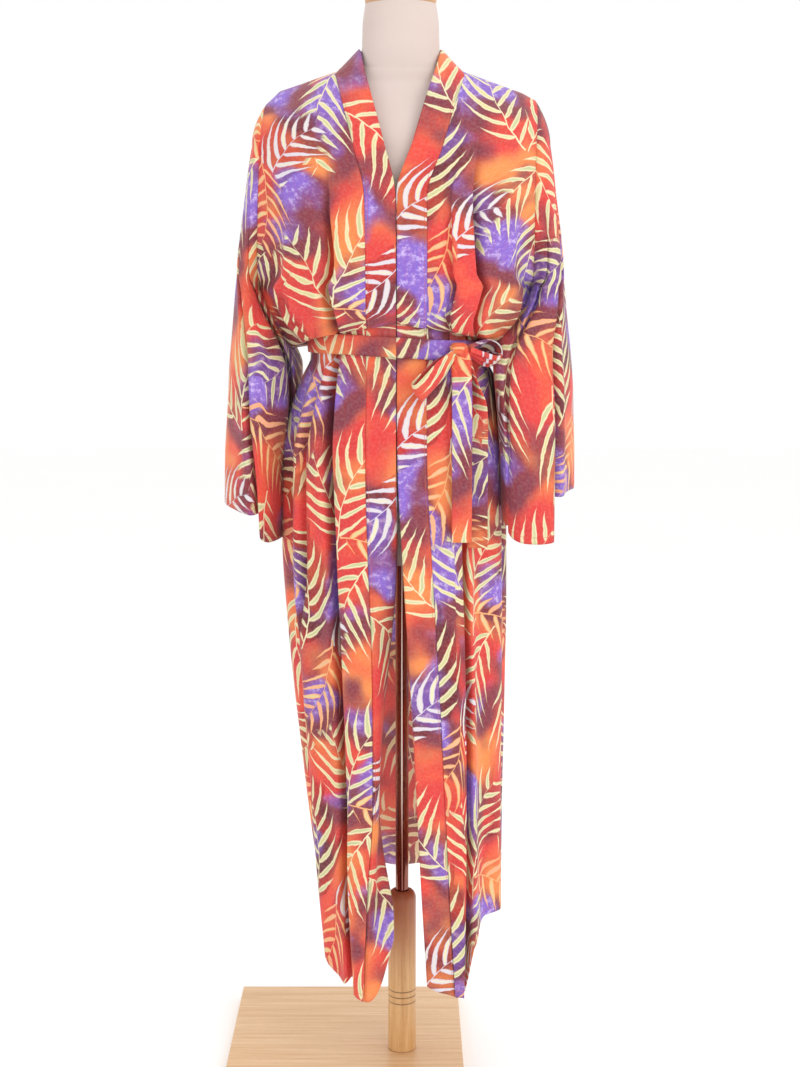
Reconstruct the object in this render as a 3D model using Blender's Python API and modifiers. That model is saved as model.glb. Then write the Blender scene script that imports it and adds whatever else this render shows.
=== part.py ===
import math

import bmesh
import bpy
import numpy as np

for old in list(bpy.data.objects):
    bpy.data.objects.remove(old, do_unlink=True)

# Sizes in metres unless a table says millimetres
MM = 0.001
LINE_POINTS = 65
WALL = 0.0016
BAND_WALL = 0.0022
BELT_WALL = 0.0024
SEAM = 0.0003
BAND_WIDE = 0.040
BELT_WIDE = 0.027
BELT_SPACE = 0.0020
BELT_HEIGHT = 1045.5
BELT_SLOPE = 60.0
LEFT, RIGHT = -1, 1

BOARD_WIDE = 0.347
BOARD_DEEP = 0.350
BOARD_THICK = 0.020
BOARD_EDGE = 0.0015
BOARD_MIDDLE_X = -0.0835
BOARD_MIDDLE_Y = 0.045
POST_RADIUS = 0.0205
POST_HIGH = 0.247
POST_DOME = 0.013
POST_SOCKET = 0.070
POST_GROOVE = 0.0006
GROOVE_HALF = 0.0012
POST_GROOVE_HEIGHTS = (0.068, 0.074, 0.080)
POLE_RADIUS = 0.0095
POLE_FIT = 0.0003
FORM_BOTTOM = 0.745
CAP_RADIUS = 0.0490
CAP_HIGH = 0.022
CAP_RIM = 0.008
CAP_SIDE = 0.006
CAP_EDGE = 0.0015
POST_EDGE = 0.0012
POST_LIP = 0.001
TURN_STEPS = 24

# Seams of the shoulder: neck point and shoulder tip, in millimetres from the pole and above the board
NECK_POINT = {LEFT: (85.5, 3.0, 1419.0), RIGHT: (79.5, 3.0, 1419.0)}
SHOULDER_TIP = {LEFT: (187.5, 2.0, 1386.0), RIGHT: (180.0, 2.0, 1384.0)}
COLLAR_TOP = {LEFT: (58.5, 3.0, 1447.5), RIGHT: (54.5, 3.0, 1446.0)}
BACK_NECK = (0.0, 74.0, 1409.0)
NECK_MIDDLE_Y = 0.012
BAND_TILT_SIDE, BAND_TILT_BACK = 45.0, 18.0
SHOULDER_CLOTH = 30.0
SHOULDER_BEND = 1.7
SLEEVE_HEAD_CLOTH = 75.0
UNDERARM_CLOTH = 330.0
BELT_CLOTH = 487.0
HEM_CLOTH = 1295.0
HEAD_FULL = 0.003
SIDE_Y = 3.0
ROUNDING = 0.55
HEM_DROP_EASE = 1.42


def table(columns, rows):
    return {name: np.array(values, float) for name, values in zip(columns.split(), zip(*rows))}


# Rings of the body, from the shoulder to the hem, in millimetres.
# cloth runs down the panel; front, side and back are heights above the board; open is the front edge;
# wide is the half width; fore and rear are the depths at the middle; arm_f and arm_b the side edges;
# square says how boxy the ring is.
BODY = table(
    "cloth front side back open_l open_r wide_l wide_r fore arm_f arm_b rear square",
    [
        (30, 1425, 1379, 1391, -53, 47, 188.5, 181, -36, -24, 27, 92, 2.6),
        (75, 1375, 1346, 1350, -40, 31, 190, 180.5, -84, -45, 50, 105, 2.8),
        (135, 1318, 1290, 1295, -25, 14, 193, 180, -110, -56, 62, 113, 3.0),
        (210, 1246, 1222, 1222, -9.2, -7.8, 195, 179, -126, -59, 66, 116, 3.2),
        (275, 1180, 1165, 1165, -8.4, -7.2, 196, 178.5, -129, -52, 58, 115, 3.2),
        (305, 1150, 1140, 1140, -8.4, -7.2, 196, 178, -128, -36, 42, 114, 3.1),
        (330, 1126, 1122, 1122, -8.4, -7.2, 195, 177.5, -126, 3, 3, 114, 3.0),
        (365, 1096, 1088, 1088, -8.4, -7.2, 185, 172, -122, 3, 3, 114, 2.8),
        (395, 1086, 1056, 1060, -8.4, -7.2, 167, 154, -117, 3, 3, 113, 2.5),
        (412, 1082, 1041, 1046, -8.4, -7.2, 153, 142, -114, 3, 3, 110, 2.3),
        (424, 1079, 1044, 1049, -8.4, -7.2, 143, 132.5, -112, 3, 3, 103, 2.3),
        (440, 1078, 1065, 1067, -8.4, -7.2, 139.5, 129, -110.5, 3, 3, 99.5, 2.3),
        (452, 1076, 1075.5, 1076.5, -8.4, -7.2, 134, 123.5, -108.5, 3, 3, 95.5, 2.3),
        (462, 1072, 1073.5, 1073.5, -8.4, -7.2, 129, 118.5, -107, 3, 3, 92.5, 2.3),
        (475, 1055, 1056, 1056, -8.4, -7.2, 127.5, 117, -106, 3, 3, 91, 2.3),
        (500, 1028, 1029, 1029, -8.4, -7.2, 127.5, 117, -106, 3, 3, 91, 2.3),
        (525, 1004, 1004, 1004, -8.4, -7.2, 138, 128, -110, 3, 3, 97, 2.3),
        (560, 970, 970, 970, -8.4, -7.2, 151, 137, -115, 3, 3, 104, 2.3),
        (630, 900, 900, 900, -8.2, -7.0, 166, 142, -120, 3, 3, 115, 2.3),
        (750, 780, 780, 780, -8.0, -6.0, 166, 144, -123, 3, 3, 122, 2.3),
        (870, 662, 660, 660, -9, 3, 159, 145, -125, 3, 3, 125, 2.3),
        (960, 574, 570, 570, -13, 8, 151, 144, -126, 3, 3, 127, 2.3),
        (1150, 388, 384, 384, -22, 19, 131, 142, -128, 3, 3, 130, 2.3),
        (1295, 240, 238, 238, -22, 31, 112, 142, -128, 3, 3, 131, 2.3),
    ],
)

# How much lower than the side the hem hangs, by place round the half ring, in millimetres
HEM_DROP = table(
    "around left right",
    [
        (0.00, 62, 88),
        (0.10, 96, 98),
        (0.20, 116, 104),
        (0.27, 118, 94),
        (0.34, 108, 56),
        (0.41, 104, 20),
        (0.56, 92, 4),
        (0.72, 52, 0),
        (1.00, 6, 0),
        (1.40, 0, 0),
        (2.00, 0, 0),
    ],
)

# Folds of the body, in millimetres.
# at counts round the half ring: 0 front edge, 1 side seam, 2 middle of the back.
# wide is the half width of the fold on that scale, lean pushes its crest round towards the back.
FOLDS = table(
    "half at wide lean chest pouch belt hip knee hem",
    [
        (LEFT, 0.27, 0.17, 0.55, 3, 4, 0.8, 8, 13, 15),
        (LEFT, 0.45, 0.13, 0.30, -9, -13, -1.2, -12, -15, -14),
        (LEFT, 0.62, 0.15, 0.50, 4, 7, 0.9, 9, 12, 12),
        (LEFT, 0.79, 0.13, 0.20, -2, -5, -0.9, -7, -8, -8),
        (LEFT, 0.98, 0.16, 0.20, 1, 3, 0.7, 4, 6, 5),
        (LEFT, 1.20, 0.14, -0.30, -3, -5, -1.0, -9, -11, -12),
        (LEFT, 1.40, 0.15, 0.40, 3, 4, 0.9, 9, 13, 14),
        (LEFT, 1.60, 0.14, 0.10, -3, -4, -1.0, -10, -13, -15),
        (LEFT, 1.80, 0.15, -0.40, 3, 5, 0.9, 10, 14, 16),
        (RIGHT, 0.33, 0.17, 0.55, 5, 6, 0.9, 9, 12, 13),
        (RIGHT, 0.52, 0.12, 0.30, -7, -9, -1.2, -11, -14, -14),
        (RIGHT, 0.69, 0.15, 0.45, 4, 6, 0.9, 8, 10, 10),
        (RIGHT, 0.86, 0.13, 0.10, -3, -4, -0.9, -6, -7, -7),
        (RIGHT, 1.03, 0.15, 0.20, 1, 3, 0.7, 5, 5, 4),
        (RIGHT, 1.24, 0.14, -0.20, -3, -5, -1.0, -9, -12, -13),
        (RIGHT, 1.44, 0.15, 0.30, 3, 4, 0.9, 9, 12, 14),
        (RIGHT, 1.65, 0.14, 0.00, -4, -5, -1.0, -10, -12, -14),
        (RIGHT, 1.85, 0.14, -0.40, 3, 4, 0.8, 8, 11, 13),
    ],
)
# Where on the cloth each depth of a fold holds; above the first there is none
FOLD_CLOTH = np.array([75, 210, 372, 430, 505, 650, 960, 1295], float)
FOLD_DEPTHS = ("chest", "pouch", "belt", "belt", "hip", "knee", "hem")

# Sleeves below the shoulder, in millimetres: outer and inner edge from the pole, middle and half of the depth
SLEEVE = table(
    "height out_l out_r in_l in_r middle half",
    [
        (1386, 193, 187, 188, 181, 2, 20),
        (1346, 200, 192, 190, 181, 2, 49),
        (1290, 210, 199, 193, 180, 3, 60),
        (1222, 220, 208, 195, 179, 4, 64),
        (1165, 227, 217, 196, 179, 4, 60),
        (1140, 229, 223, 196, 178, 4, 53),
        (1122, 231, 226, 195, 178, 4, 50),
        (1085, 234, 231, 190.5, 177.5, 5, 58),
        (1050, 237, 235, 174, 161, 6, 68),
        (1020, 240, 238, 165, 152, 7, 74),
        (960, 243, 241, 171, 150, 8, 78),
        (880, 247, 243, 174.5, 152, 8, 77),
        (770, 250, 245, 176, 153, 8, 76),
    ],
)

# Height of the cuff round the sleeve, from the underarm seam by the front to the outer side and the back
CUFF = table(
    "around left right",
    [
        (0.00, 788, 804),
        (0.06, 779, 792),
        (0.12, 774, 782),
        (0.17, 780, 777),
        (0.21, 800, 774),
        (0.28, 808, 775),
        (0.33, 812, 812),
        (0.42, 817, 836),
        (0.52, 824, 842),
        (0.70, 818, 834),
        (0.88, 802, 818),
        (1.00, 790, 808),
    ],
)
SLEEVE_FOLDS = table(
    "half at wide lean upper elbow cuff",
    [
        (LEFT, 0.13, 0.10, 0.60, 0, 8, 10),
        (LEFT, 0.29, 0.11, 0.40, -3, -10, -11),
        (LEFT, 0.52, 0.11, 0.20, 2, 5, 4),
        (LEFT, 0.70, 0.10, 0.20, -3, -8, -9),
        (LEFT, 0.84, 0.09, -0.30, 2, 7, 8),
        (RIGHT, 0.23, 0.12, 0.70, 2, 9, 11),
        (RIGHT, 0.40, 0.09, 0.40, -3, -10, -11),
        (RIGHT, 0.56, 0.09, 0.20, 1, 4, 3),
        (RIGHT, 0.71, 0.10, 0.20, -3, -8, -9),
        (RIGHT, 0.85, 0.09, -0.30, 2, 7, 8),
    ],
)
# Heights where the cuff, elbow and upper depths hold; above the last there is none
SLEEVE_FOLD_HEIGHTS = np.array([780, 960, 1165, 1320], float)

# Dress form, in millimetres: height, half width, front, back
TORSO = table(
    "height wide front back",
    [
        (745, 118, -84, 84),
        (760, 124, -89, 90),
        (850, 129, -94, 96),
        (930, 118, -90, 90),
        (1050, 95, -80, 72),
        (1120, 118, -97, 86),
        (1200, 140, -112, 96),
        (1260, 152, -108, 100),
        (1320, 162, -98, 98),
        (1360, 169, -80, 86),
        (1380, 167, -68, 73),
        (1394, 148, -58, 62),
        (1405, 108, -51, 55),
        (1414, 76, -47, 51),
        (1424, 60, -47, 50),
        (1436, 54, -49, 50),
        (1450, 53, -50, 50),
        (1480, 52, -50, 49.5),
        (1506, 48.5, -48.5, 48.5),
    ],
)
TORSO_SHIFT_X = -0.002
TORSO_BETWEEN = (990, 1160, 1340, 1387, 1399.5)
FORM_ROUND = 0.92

BOW_AT_X = 0.066
KNOT_SIZE = (0.026, 0.020, 0.024)
KNOT_HOLD = 0.46
PINCH = 0.42
LOOP_PINCH_REACH = 0.024
TAIL_PINCH_REACH = 0.048
TAIL_LOOK = 0.060
LOOPS = table(
    "angle long spread",
    [(210, 74, 9.0), (-20, 58, 10.0)],
)
TAILS = table(
    "from across long turn lift",
    [(-1.0, 10, 250, 10, 3.0), (11.2, 38, 256, 50, 3.0)],
)

FRONT_COLUMNS = 15
BACK_COLUMNS = 25
SLEEVE_COLUMNS = 25
BELT_COLUMNS = 15
TAIL_ROWS = 14
SLEEVE_LOWER_ROWS = 8
NECK_ROWS = 12
BODY_ROWS = np.array(
    [0, 14, 30, 52, 75, 105, 135, 172, 210, 245, 275, 305, 330, 365, 395, 412, 424, 440, 452, 462, 475]
    + [500, 525, 560, 630, 750, 870, 960, 1060, 1150, 1225, 1295],
    float,
)
TIP_ROWS = [i for i, cloth in enumerate(BODY_ROWS) if cloth <= SLEEVE_HEAD_CLOTH]
ARM_ROWS = [i for i, cloth in enumerate(BODY_ROWS) if SLEEVE_HEAD_CLOTH < cloth <= UNDERARM_CLOTH]


# Curves
def smooth(places, values, at):
    # A curve through the rows that never swings past them
    at = np.clip(np.asarray(at, float), places[0], places[-1])
    steps = np.diff(places)
    slopes = np.diff(values) / steps
    ends = np.zeros(len(places))
    for i in range(1, len(places) - 1):
        if slopes[i - 1] * slopes[i] > 0:
            before = 2 * steps[i] + steps[i - 1]
            after = steps[i] + 2 * steps[i - 1]
            ends[i] = (before + after) / (before / slopes[i - 1] + after / slopes[i])
    ends[0], ends[-1] = slopes[0], slopes[-1]
    i = np.clip(np.searchsorted(places, at, side="right") - 1, 0, len(steps) - 1)
    t = (at - places[i]) / steps[i]
    first = values[i] * (1 + 2 * t) * (1 - t) ** 2 + ends[i] * steps[i] * t * (1 - t) ** 2
    return first + values[i + 1] * t**2 * (3 - 2 * t) + ends[i + 1] * steps[i] * t**2 * (t - 1)


def column(rows, name, at, key="cloth"):
    return smooth(rows[key], rows[name], at)


def along(points, shares):
    # Points at these shares of a line's length
    lengths = np.linalg.norm(np.diff(points, axis=0), axis=1)
    done = np.concatenate([[0], np.cumsum(lengths)]) / lengths.sum()
    return np.stack([np.interp(shares, done, points[:, k]) for k in range(3)], axis=1)


def line_length(points):
    return np.linalg.norm(np.diff(points, axis=0), axis=1).sum()


def side_name(half):
    return "left" if half == LEFT else "right"


# Rings of the body
def quarter(cloth, half, front):
    # From the middle to the side edge, which stops short of the full ring beside an armhole
    letter = side_name(half)[0]
    edge = column(BODY, "open_" + letter, cloth) if front else 0.0
    wide = half * column(BODY, "wide_" + letter, cloth)
    middle = column(BODY, "fore" if front else "rear", cloth)
    arm = column(BODY, "arm_f" if front else "arm_b", cloth)
    square = column(BODY, "square", cloth)
    left_over = np.clip((arm - SIDE_Y) / (middle - SIDE_Y), 0, 1)
    last = (1 - left_over ** (1 / ROUNDING)) ** (1 / square)
    share = last * np.sin(np.linspace(0, math.pi / 2, LINE_POINTS))
    x = edge + (wide - edge) * share / last
    y = SIDE_Y + (middle - SIDE_Y) * np.clip(1 - share**square, 0, 1) ** ROUNDING
    steps = np.hypot(np.diff(x), np.diff(y))
    done = np.concatenate([[0], np.cumsum(steps)]) / steps.sum()
    high = column(BODY, "front" if front else "back", cloth)
    z = high + (column(BODY, "side", cloth) - high) * done
    return np.stack([x, y, z], axis=1) * MM


def front_line(cloth, half):
    return quarter(cloth, half, True)


def back_line(cloth, half):
    return quarter(cloth, half, False)[::-1]


def mirrored(point, half):
    return np.array([half * point[0], point[1], point[2]]) * MM


def shoulder_front(half):
    corners = [mirrored(p[half], half) for p in (COLLAR_TOP, NECK_POINT, SHOULDER_TIP)]
    return np.array(corners)


def shoulder_back(half):
    tip, neck = mirrored(SHOULDER_TIP[half], half), mirrored(NECK_POINT[half], half)
    rear = np.array(BACK_NECK) * MM
    turn = np.linspace(0, math.pi / 2, 17)[:, None]
    curve = np.array([rear[0], neck[1], 0]) + np.cos(turn) * (neck - rear) * [1, 0, 0]
    curve = curve + np.sin(turn) * [0, rear[1] - neck[1], 0]
    curve[:, 2] = neck[2] + (rear[2] - neck[2]) * np.sin(turn[:, 0])
    return np.vstack([tip, curve])


def body_line(cloth, half, front):
    if cloth >= SHOULDER_CLOTH:
        return front_line(cloth, half) if front else back_line(cloth, half)
    shares = np.linspace(0, 1, LINE_POINTS)
    top = along(shoulder_front(half) if front else shoulder_back(half), shares)
    low = along(body_line(SHOULDER_CLOTH, half, front), shares)
    part = cloth / SHOULDER_CLOTH
    drop = np.array([part, part, part**SHOULDER_BEND])
    return top + (low - top) * drop


def fold_shift(half, around, cloth):
    # Outward and sideways shift of the folds on one half ring
    around = np.asarray(around, float)
    out, aside = np.zeros_like(around), np.zeros_like(around)
    for i, owner in enumerate(FOLDS["half"]):
        if owner != half:
            continue
        depths = np.array([0.0] + [FOLDS[name][i] for name in FOLD_DEPTHS])
        depth = smooth(FOLD_CLOTH, depths, cloth)
        near = np.clip((around - FOLDS["at"][i]) / FOLDS["wide"][i], -1, 1)
        bump = depth * 0.5 * (1 + np.cos(math.pi * near))
        out += bump
        aside += FOLDS["lean"][i] * np.abs(bump)
    return out * MM, aside * MM


def body_points(cloth, half, front, shares):
    # One row of a half ring with its folds
    points = along(body_line(cloth, half, front), shares)
    around = np.asarray(shares) + (0 if front else 1)
    out, aside = fold_shift(half, around, cloth)
    angle = around * math.pi / 2
    normal = np.stack([half * np.sin(angle), -np.cos(angle), 0 * angle], axis=1)
    tangent = np.stack([half * np.cos(angle), np.sin(angle), 0 * angle], axis=1)
    reach = np.clip((cloth - BELT_CLOTH) / (HEM_CLOTH - BELT_CLOTH), 0, 1) ** HEM_DROP_EASE
    drop = smooth(HEM_DROP["around"], HEM_DROP[side_name(half)], around) * MM * reach
    points = points + normal * out[:, None] + tangent * aside[:, None]
    points[:, 2] -= drop
    return points


def band_share(cloth, half):
    if cloth < SHOULDER_CLOTH:
        top = line_length(shoulder_front(half)[:2]) / line_length(shoulder_front(half))
        low = band_share(SHOULDER_CLOTH, half)
        return top + (low - top) * cloth / SHOULDER_CLOTH
    return BAND_WIDE / line_length(front_line(cloth, half))


# Sheets: a grid of points and the way each point's wall faces
def facing(points, outward):
    down = np.gradient(points, axis=0)
    across = np.gradient(points, axis=1)
    normal = np.cross(down, across)
    normal /= np.maximum(np.linalg.norm(normal, axis=2, keepdims=True), 1e-12)
    if (normal * outward).sum() < 0:
        normal = -normal
    return normal


def unit(vectors):
    return vectors / np.maximum(np.linalg.norm(vectors, axis=-1, keepdims=True), 1e-12)


def shell(name, outer, inner, ring=False):
    # A closed wall between two grids of the same size
    rows, columns = outer.shape[:2]
    points = np.concatenate([outer.reshape(-1, 3), inner.reshape(-1, 3)])
    half = rows * columns
    spans = columns if ring else columns - 1
    faces = []
    for r in range(rows - 1):
        for c in range(spans):
            a, b = r * columns + c, r * columns + (c + 1) % columns
            faces.append((a, b, b + columns, a + columns))
            faces.append((half + a, half + a + columns, half + b + columns, half + b))
    for r in (0, rows - 1):
        for c in range(spans):
            a, b = r * columns + c, r * columns + (c + 1) % columns
            faces.append((a, half + a, half + b, b) if r == 0 else (a, b, half + b, half + a))
    if not ring:
        for c in (0, columns - 1):
            for r in range(rows - 1):
                a, b = r * columns + c, (r + 1) * columns + c
                faces.append((a, b, half + b, half + a) if c == 0 else (a, half + a, half + b, b))
    mesh = bpy.data.meshes.new(name)
    mesh.from_pydata(points.tolist(), [], faces)
    work = bmesh.new()
    work.from_mesh(mesh)
    bmesh.ops.recalc_face_normals(work, faces=work.faces)
    work.to_mesh(mesh)
    work.free()
    return mesh


def sheet(name, points, normals, thick, material, ring=False):
    lift = np.array([0, 0, BOARD_THICK])
    outer = points + normals * thick / 2 + lift
    inner = points - normals * thick / 2 + lift
    return add(name, shell(name, outer, inner, ring), material)


# Objects and materials
robe = bpy.data.collections.new("kimono_robe_on_dress_form")
bpy.context.scene.collection.children.link(robe)
root = bpy.data.objects.new("robe_root", None)
robe.objects.link(root)


def material(name, colour, roughness, metallic=0.0):
    made = bpy.data.materials.new(name)
    made.use_nodes = True
    shader = made.node_tree.nodes["Principled BSDF"]
    shader.inputs["Base Color"].default_value = (*colour, 1)
    shader.inputs["Roughness"].default_value = roughness
    shader.inputs["Metallic"].default_value = metallic
    return made


def add(name, mesh, look):
    made = bpy.data.objects.new(name, mesh)
    mesh.materials.append(look)
    mesh.shade_smooth()
    mesh.set_sharp_from_angle(angle=math.radians(40))
    made.parent = root
    robe.objects.link(made)
    return made


RED_RAYON = material("batik_rayon_red", (0.78, 0.06, 0.05), 0.62)
ORANGE_RAYON = material("batik_rayon_orange", (0.87, 0.22, 0.06), 0.62)
PURPLE_RAYON = material("batik_rayon_purple", (0.22, 0.12, 0.55), 0.62)
LINEN = material("form_cover_linen", (0.74, 0.66, 0.60), 0.85)
BEECH = material("beech_wood", (0.66, 0.42, 0.24), 0.5)
STEEL = material("chromed_steel", (0.75, 0.74, 0.73), 0.15, 1.0)


# Body panels
def front_shares(cloth, half):
    start = band_share(cloth, half)
    length = line_length(body_line(cloth, half, True))
    rim = SEAM * 0.8 / length
    return start, np.linspace(start + rim, 1 - rim, FRONT_COLUMNS), rim


fronts, bands = {}, {}
for half in (LEFT, RIGHT):
    panel, strip = [], []
    for cloth in BODY_ROWS:
        start, shares, rim = front_shares(cloth, half)
        panel.append(body_points(cloth, half, True, shares))
        strip.append(body_points(cloth, half, True, np.linspace(0, start - rim, 3)))
    fronts[half], bands[half] = np.array(panel), np.array(strip)

back = []
for cloth in BODY_ROWS:
    columns = np.linspace(0, 1, BACK_COLUMNS // 2 + 1)
    shares = {}
    for half in (LEFT, RIGHT):
        rim = SEAM / 2 / line_length(body_line(cloth, half, False))
        shares[half] = rim + columns * (1 - rim)
    left = body_points(cloth, LEFT, False, shares[LEFT])
    right = body_points(cloth, RIGHT, False, shares[RIGHT])
    middle = (left[-1:] + right[-1:]) / 2
    back.append(np.vstack([left[:-1], middle, right[-2::-1]]))
back = np.array(back)

# The two shoulder seams keep their space along the depth
for half in (LEFT, RIGHT):
    fronts[half][0, :, 1] -= SEAM / 2
    bands[half][0, :, 1] -= SEAM / 2
back[0, :, 1] += SEAM / 2

front_faces = {half: facing(fronts[half], fronts[half] * [1, 1, 0]) for half in (LEFT, RIGHT)}
back_faces = facing(back, back * [1, 1, 0])

# Shoulder seams share one facing, square to the slope of the shoulder
for half in (LEFT, RIGHT):
    slope = mirrored(SHOULDER_TIP[half], half) - mirrored(NECK_POINT[half], half)
    up = unit(np.array([half * abs(slope[2]), 0, abs(slope[0])]))
    front_faces[half][0] = up
    reach = mirrored(NECK_POINT[half], half)[0]
    for c in range(back.shape[1]):
        if half * back[0, c, 0] >= abs(reach) - 1e-6:
            back_faces[0, c] = up

# Side seams share the mean facing of the two panels
low = len(TIP_ROWS) + len(ARM_ROWS) - 1
for half, column_at in ((LEFT, 0), (RIGHT, -1)):
    both = unit(front_faces[half][low:, -1] + back_faces[low:, column_at])
    front_faces[half][low:, -1] = both
    back_faces[low:, column_at] = both


# Sleeves
def sleeve_value(name, height):
    order = np.argsort(SLEEVE["height"])
    return smooth(SLEEVE["height"][order], SLEEVE[name][order], height)


def sleeve_shift(half, around, height):
    out, aside = np.zeros_like(around), np.zeros_like(around)
    for i, owner in enumerate(SLEEVE_FOLDS["half"]):
        if owner != half:
            continue
        depths = np.array([SLEEVE_FOLDS[name][i] for name in ("cuff", "elbow", "upper")] + [0.0])
        depth = smooth(SLEEVE_FOLD_HEIGHTS, depths, height)
        near = np.clip((around - SLEEVE_FOLDS["at"][i]) / SLEEVE_FOLDS["wide"][i], -1, 1)
        bump = depth * 0.5 * (1 + np.cos(math.pi * near))
        out += bump
        aside += SLEEVE_FOLDS["lean"][i] * np.abs(bump)
    return out * MM, aside * MM


def sleeve_loop(half, heights, first, last):
    # An oval from the front edge round the outer side to the back edge, at one height for each place
    letter = side_name(half)[0]
    around = np.linspace(0, 1, SLEEVE_COLUMNS)
    level = np.mean(heights)
    out = sleeve_value("out_" + letter, level) * MM
    gap = (last[1] - first[1]) / 2
    middle = (last[1] + first[1]) / 2
    deep = max(sleeve_value("half", level) * MM, gap * 1.02)
    open_angle = math.asin(min(gap / deep, 1.0))
    inner = half * (first[0] + last[0]) / 2
    reach = (out - inner) / (1 + math.cos(open_angle))
    angle = -(math.pi - open_angle) + 2 * (math.pi - open_angle) * around
    push, slide = sleeve_shift(half, around, level)
    ease = np.sin(math.pi * around)
    push, slide = push * ease**0.5, slide * ease**0.5
    x = out - reach + reach * np.cos(angle) + push * np.cos(angle) - slide * np.sin(angle)
    y = middle + deep * np.sin(angle) + push * np.sin(angle) + slide * np.cos(angle)
    return np.stack([half * x, y, np.asarray(heights) * MM], axis=1)


def seam_start(edge, way, face, leaving, space=SEAM):
    # Where a wall starts so that its outer edge meets the edge of the wall that it is sewn to
    rise = (leaving * face).sum(axis=-1)
    bend = np.arctan2(np.abs(rise), (leaving * way).sum(axis=-1))
    onward = WALL / 2 * np.sin(bend) + space * np.clip(np.cos(bend), 0, 1)
    upward = WALL / 2 * (1 - np.cos(bend)) + space * np.maximum(np.sin(bend), -np.cos(bend))
    outside = np.where((rise < 0) & (bend < math.pi / 2), -1, 1)
    return edge + way * onward[..., None] + face * (upward * outside)[..., None]


sleeves, sleeve_faces = {}, {}
for half in (LEFT, RIGHT):
    column_at, beside = (0, 1) if half == LEFT else (-1, -2)
    front_edge, back_edge = fronts[half][:, -1], back[:, column_at]
    front_way = unit(front_edge - fronts[half][:, -2])
    back_way = unit(back_edge - back[:, beside])
    front_face, back_face = front_faces[half][:, -1], back_faces[:, column_at]
    around = np.linspace(0, 1, SLEEVE_COLUMNS)
    head = np.vstack([front_edge[TIP_ROWS[:0:-1]], back_edge[TIP_ROWS]])
    knots = np.concatenate([[0], np.cumsum(np.linalg.norm(np.diff(head, axis=0), axis=1))])
    knots /= knots[-1]

    def over_tip(front_values, back_values):
        # From the front edge over the shoulder tip to the back edge
        middle = (front_values[:1] + back_values[:1]) / 2
        path = np.vstack([front_values[TIP_ROWS[:0:-1]], middle, back_values[TIP_ROWS[1:]]])
        return np.stack([np.interp(around, knots, path[:, k]) for k in range(3)], axis=1)

    tip = over_tip(front_edge, back_edge)
    rows = [tip]
    for i in ARM_ROWS:
        first, last = front_edge[i], back_edge[i]
        heights = (first[2] + (last[2] - first[2]) * around) / MM
        rows.append(sleeve_loop(half, heights, first, last))
    underarm = (front_edge[ARM_ROWS[-1]][2] + back_edge[ARM_ROWS[-1]][2]) / 2 / MM
    cuff = smooth(CUFF["around"], CUFF[side_name(half)], around)
    for step in range(1, SLEEVE_LOWER_ROWS + 1):
        heights = underarm + (cuff - underarm) * step / SLEEVE_LOWER_ROWS
        level = np.mean(heights)
        inner = half * sleeve_value("in_" + side_name(half)[0], level) * MM
        middle = sleeve_value("middle", level) * MM
        first = np.array([inner, middle - SEAM / 2, heights[0] * MM])
        last = np.array([inner, middle + SEAM / 2, heights[-1] * MM])
        rows.append(sleeve_loop(half, heights, first, last))
    grid = np.array(rows)
    # The sleeve starts clear of the panels, all along the armhole
    tip_way, tip_face = unit(over_tip(front_way, back_way)), unit(over_tip(front_face, back_face))
    leaving = unit(grid[1] - tip)
    leaving[:3], leaving[-3:] = leaving[3], leaving[-4]
    grid[0] = seam_start(tip, tip_way, tip_face, leaving, 2 * SEAM)
    count = len(ARM_ROWS)
    for place, next_to, edge, way, face in (
        (0, 1, front_edge, front_way, front_face),
        (-1, -2, back_edge, back_way, back_face),
    ):
        arm = grid[1 : 1 + count]
        leaving = unit(arm[:, next_to] - arm[:, place])
        moved = seam_start(edge[ARM_ROWS], way[ARM_ROWS], face[ARM_ROWS], leaving) - arm[:, place]
        for step, weight in ((0, 1.0), (1, 0.7), (2, 0.3)):
            arm[:, place + step * (next_to - place)] += moved * weight
    between = (grid[0] + grid[1]) / 2
    between[:, 0] += half * HEAD_FULL * np.sin(math.pi * around) ** 0.7
    grid = np.concatenate([grid[:1], between[None], grid[1:]])
    axis = grid.mean(axis=1, keepdims=True)
    faces = facing(grid, (grid - axis) * [1, 1, 0])
    for place, next_to in ((0, 1), (-1, -2)):
        corner = np.cross(grid[1, place] - grid[0, next_to], grid[1, next_to] - grid[0, place])
        faces[0, place] = unit(corner * np.sign(corner @ faces[1, next_to]))
    ends = unit(faces[count + 1 :, 0] + faces[count + 1 :, -1])
    faces[count + 1 :, 0] = ends
    faces[count + 1 :, -1] = ends
    sleeves[half], sleeve_faces[half] = grid, faces

# Band round the fronts and the neck, one strip from hem to hem
neck_rows = []
for k in range(1, NECK_ROWS):
    share = k / NECK_ROWS
    half = LEFT if share <= 0.5 else RIGHT
    part = share * 2 if half == LEFT else (1 - share) * 2
    curve = shoulder_back(half)[1:]
    seam = along(curve, [part])[0]
    inward = unit(np.array([-seam[0], NECK_MIDDLE_Y - seam[1], 0]))
    tilt = math.radians(BAND_TILT_SIDE + (BAND_TILT_BACK - BAND_TILT_SIDE) * math.sin(part * math.pi / 2))
    rise = inward * math.sin(tilt) + np.array([0, 0, math.cos(tilt)])
    start = seam + rise * (SEAM + WALL * 0.6) + np.array([0, SEAM / 2, 0])
    neck_rows.append([start + rise * BAND_WIDE * share_up for share_up in (1, 0.5, 0)])
band = np.concatenate([bands[LEFT][::-1], np.array(neck_rows), bands[RIGHT]])
band_faces = facing(band, band * [1, 1, 0])
rows = len(BODY_ROWS)
for half, picked in ((LEFT, slice(rows - 1, None, -1)), (RIGHT, slice(rows + NECK_ROWS - 1, None))):
    strip_faces = band_faces[picked, 2]
    both = unit(strip_faces + front_faces[half][:, 0])
    front_faces[half][:, 0] = both
    band_faces[picked, 2] = both

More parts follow.
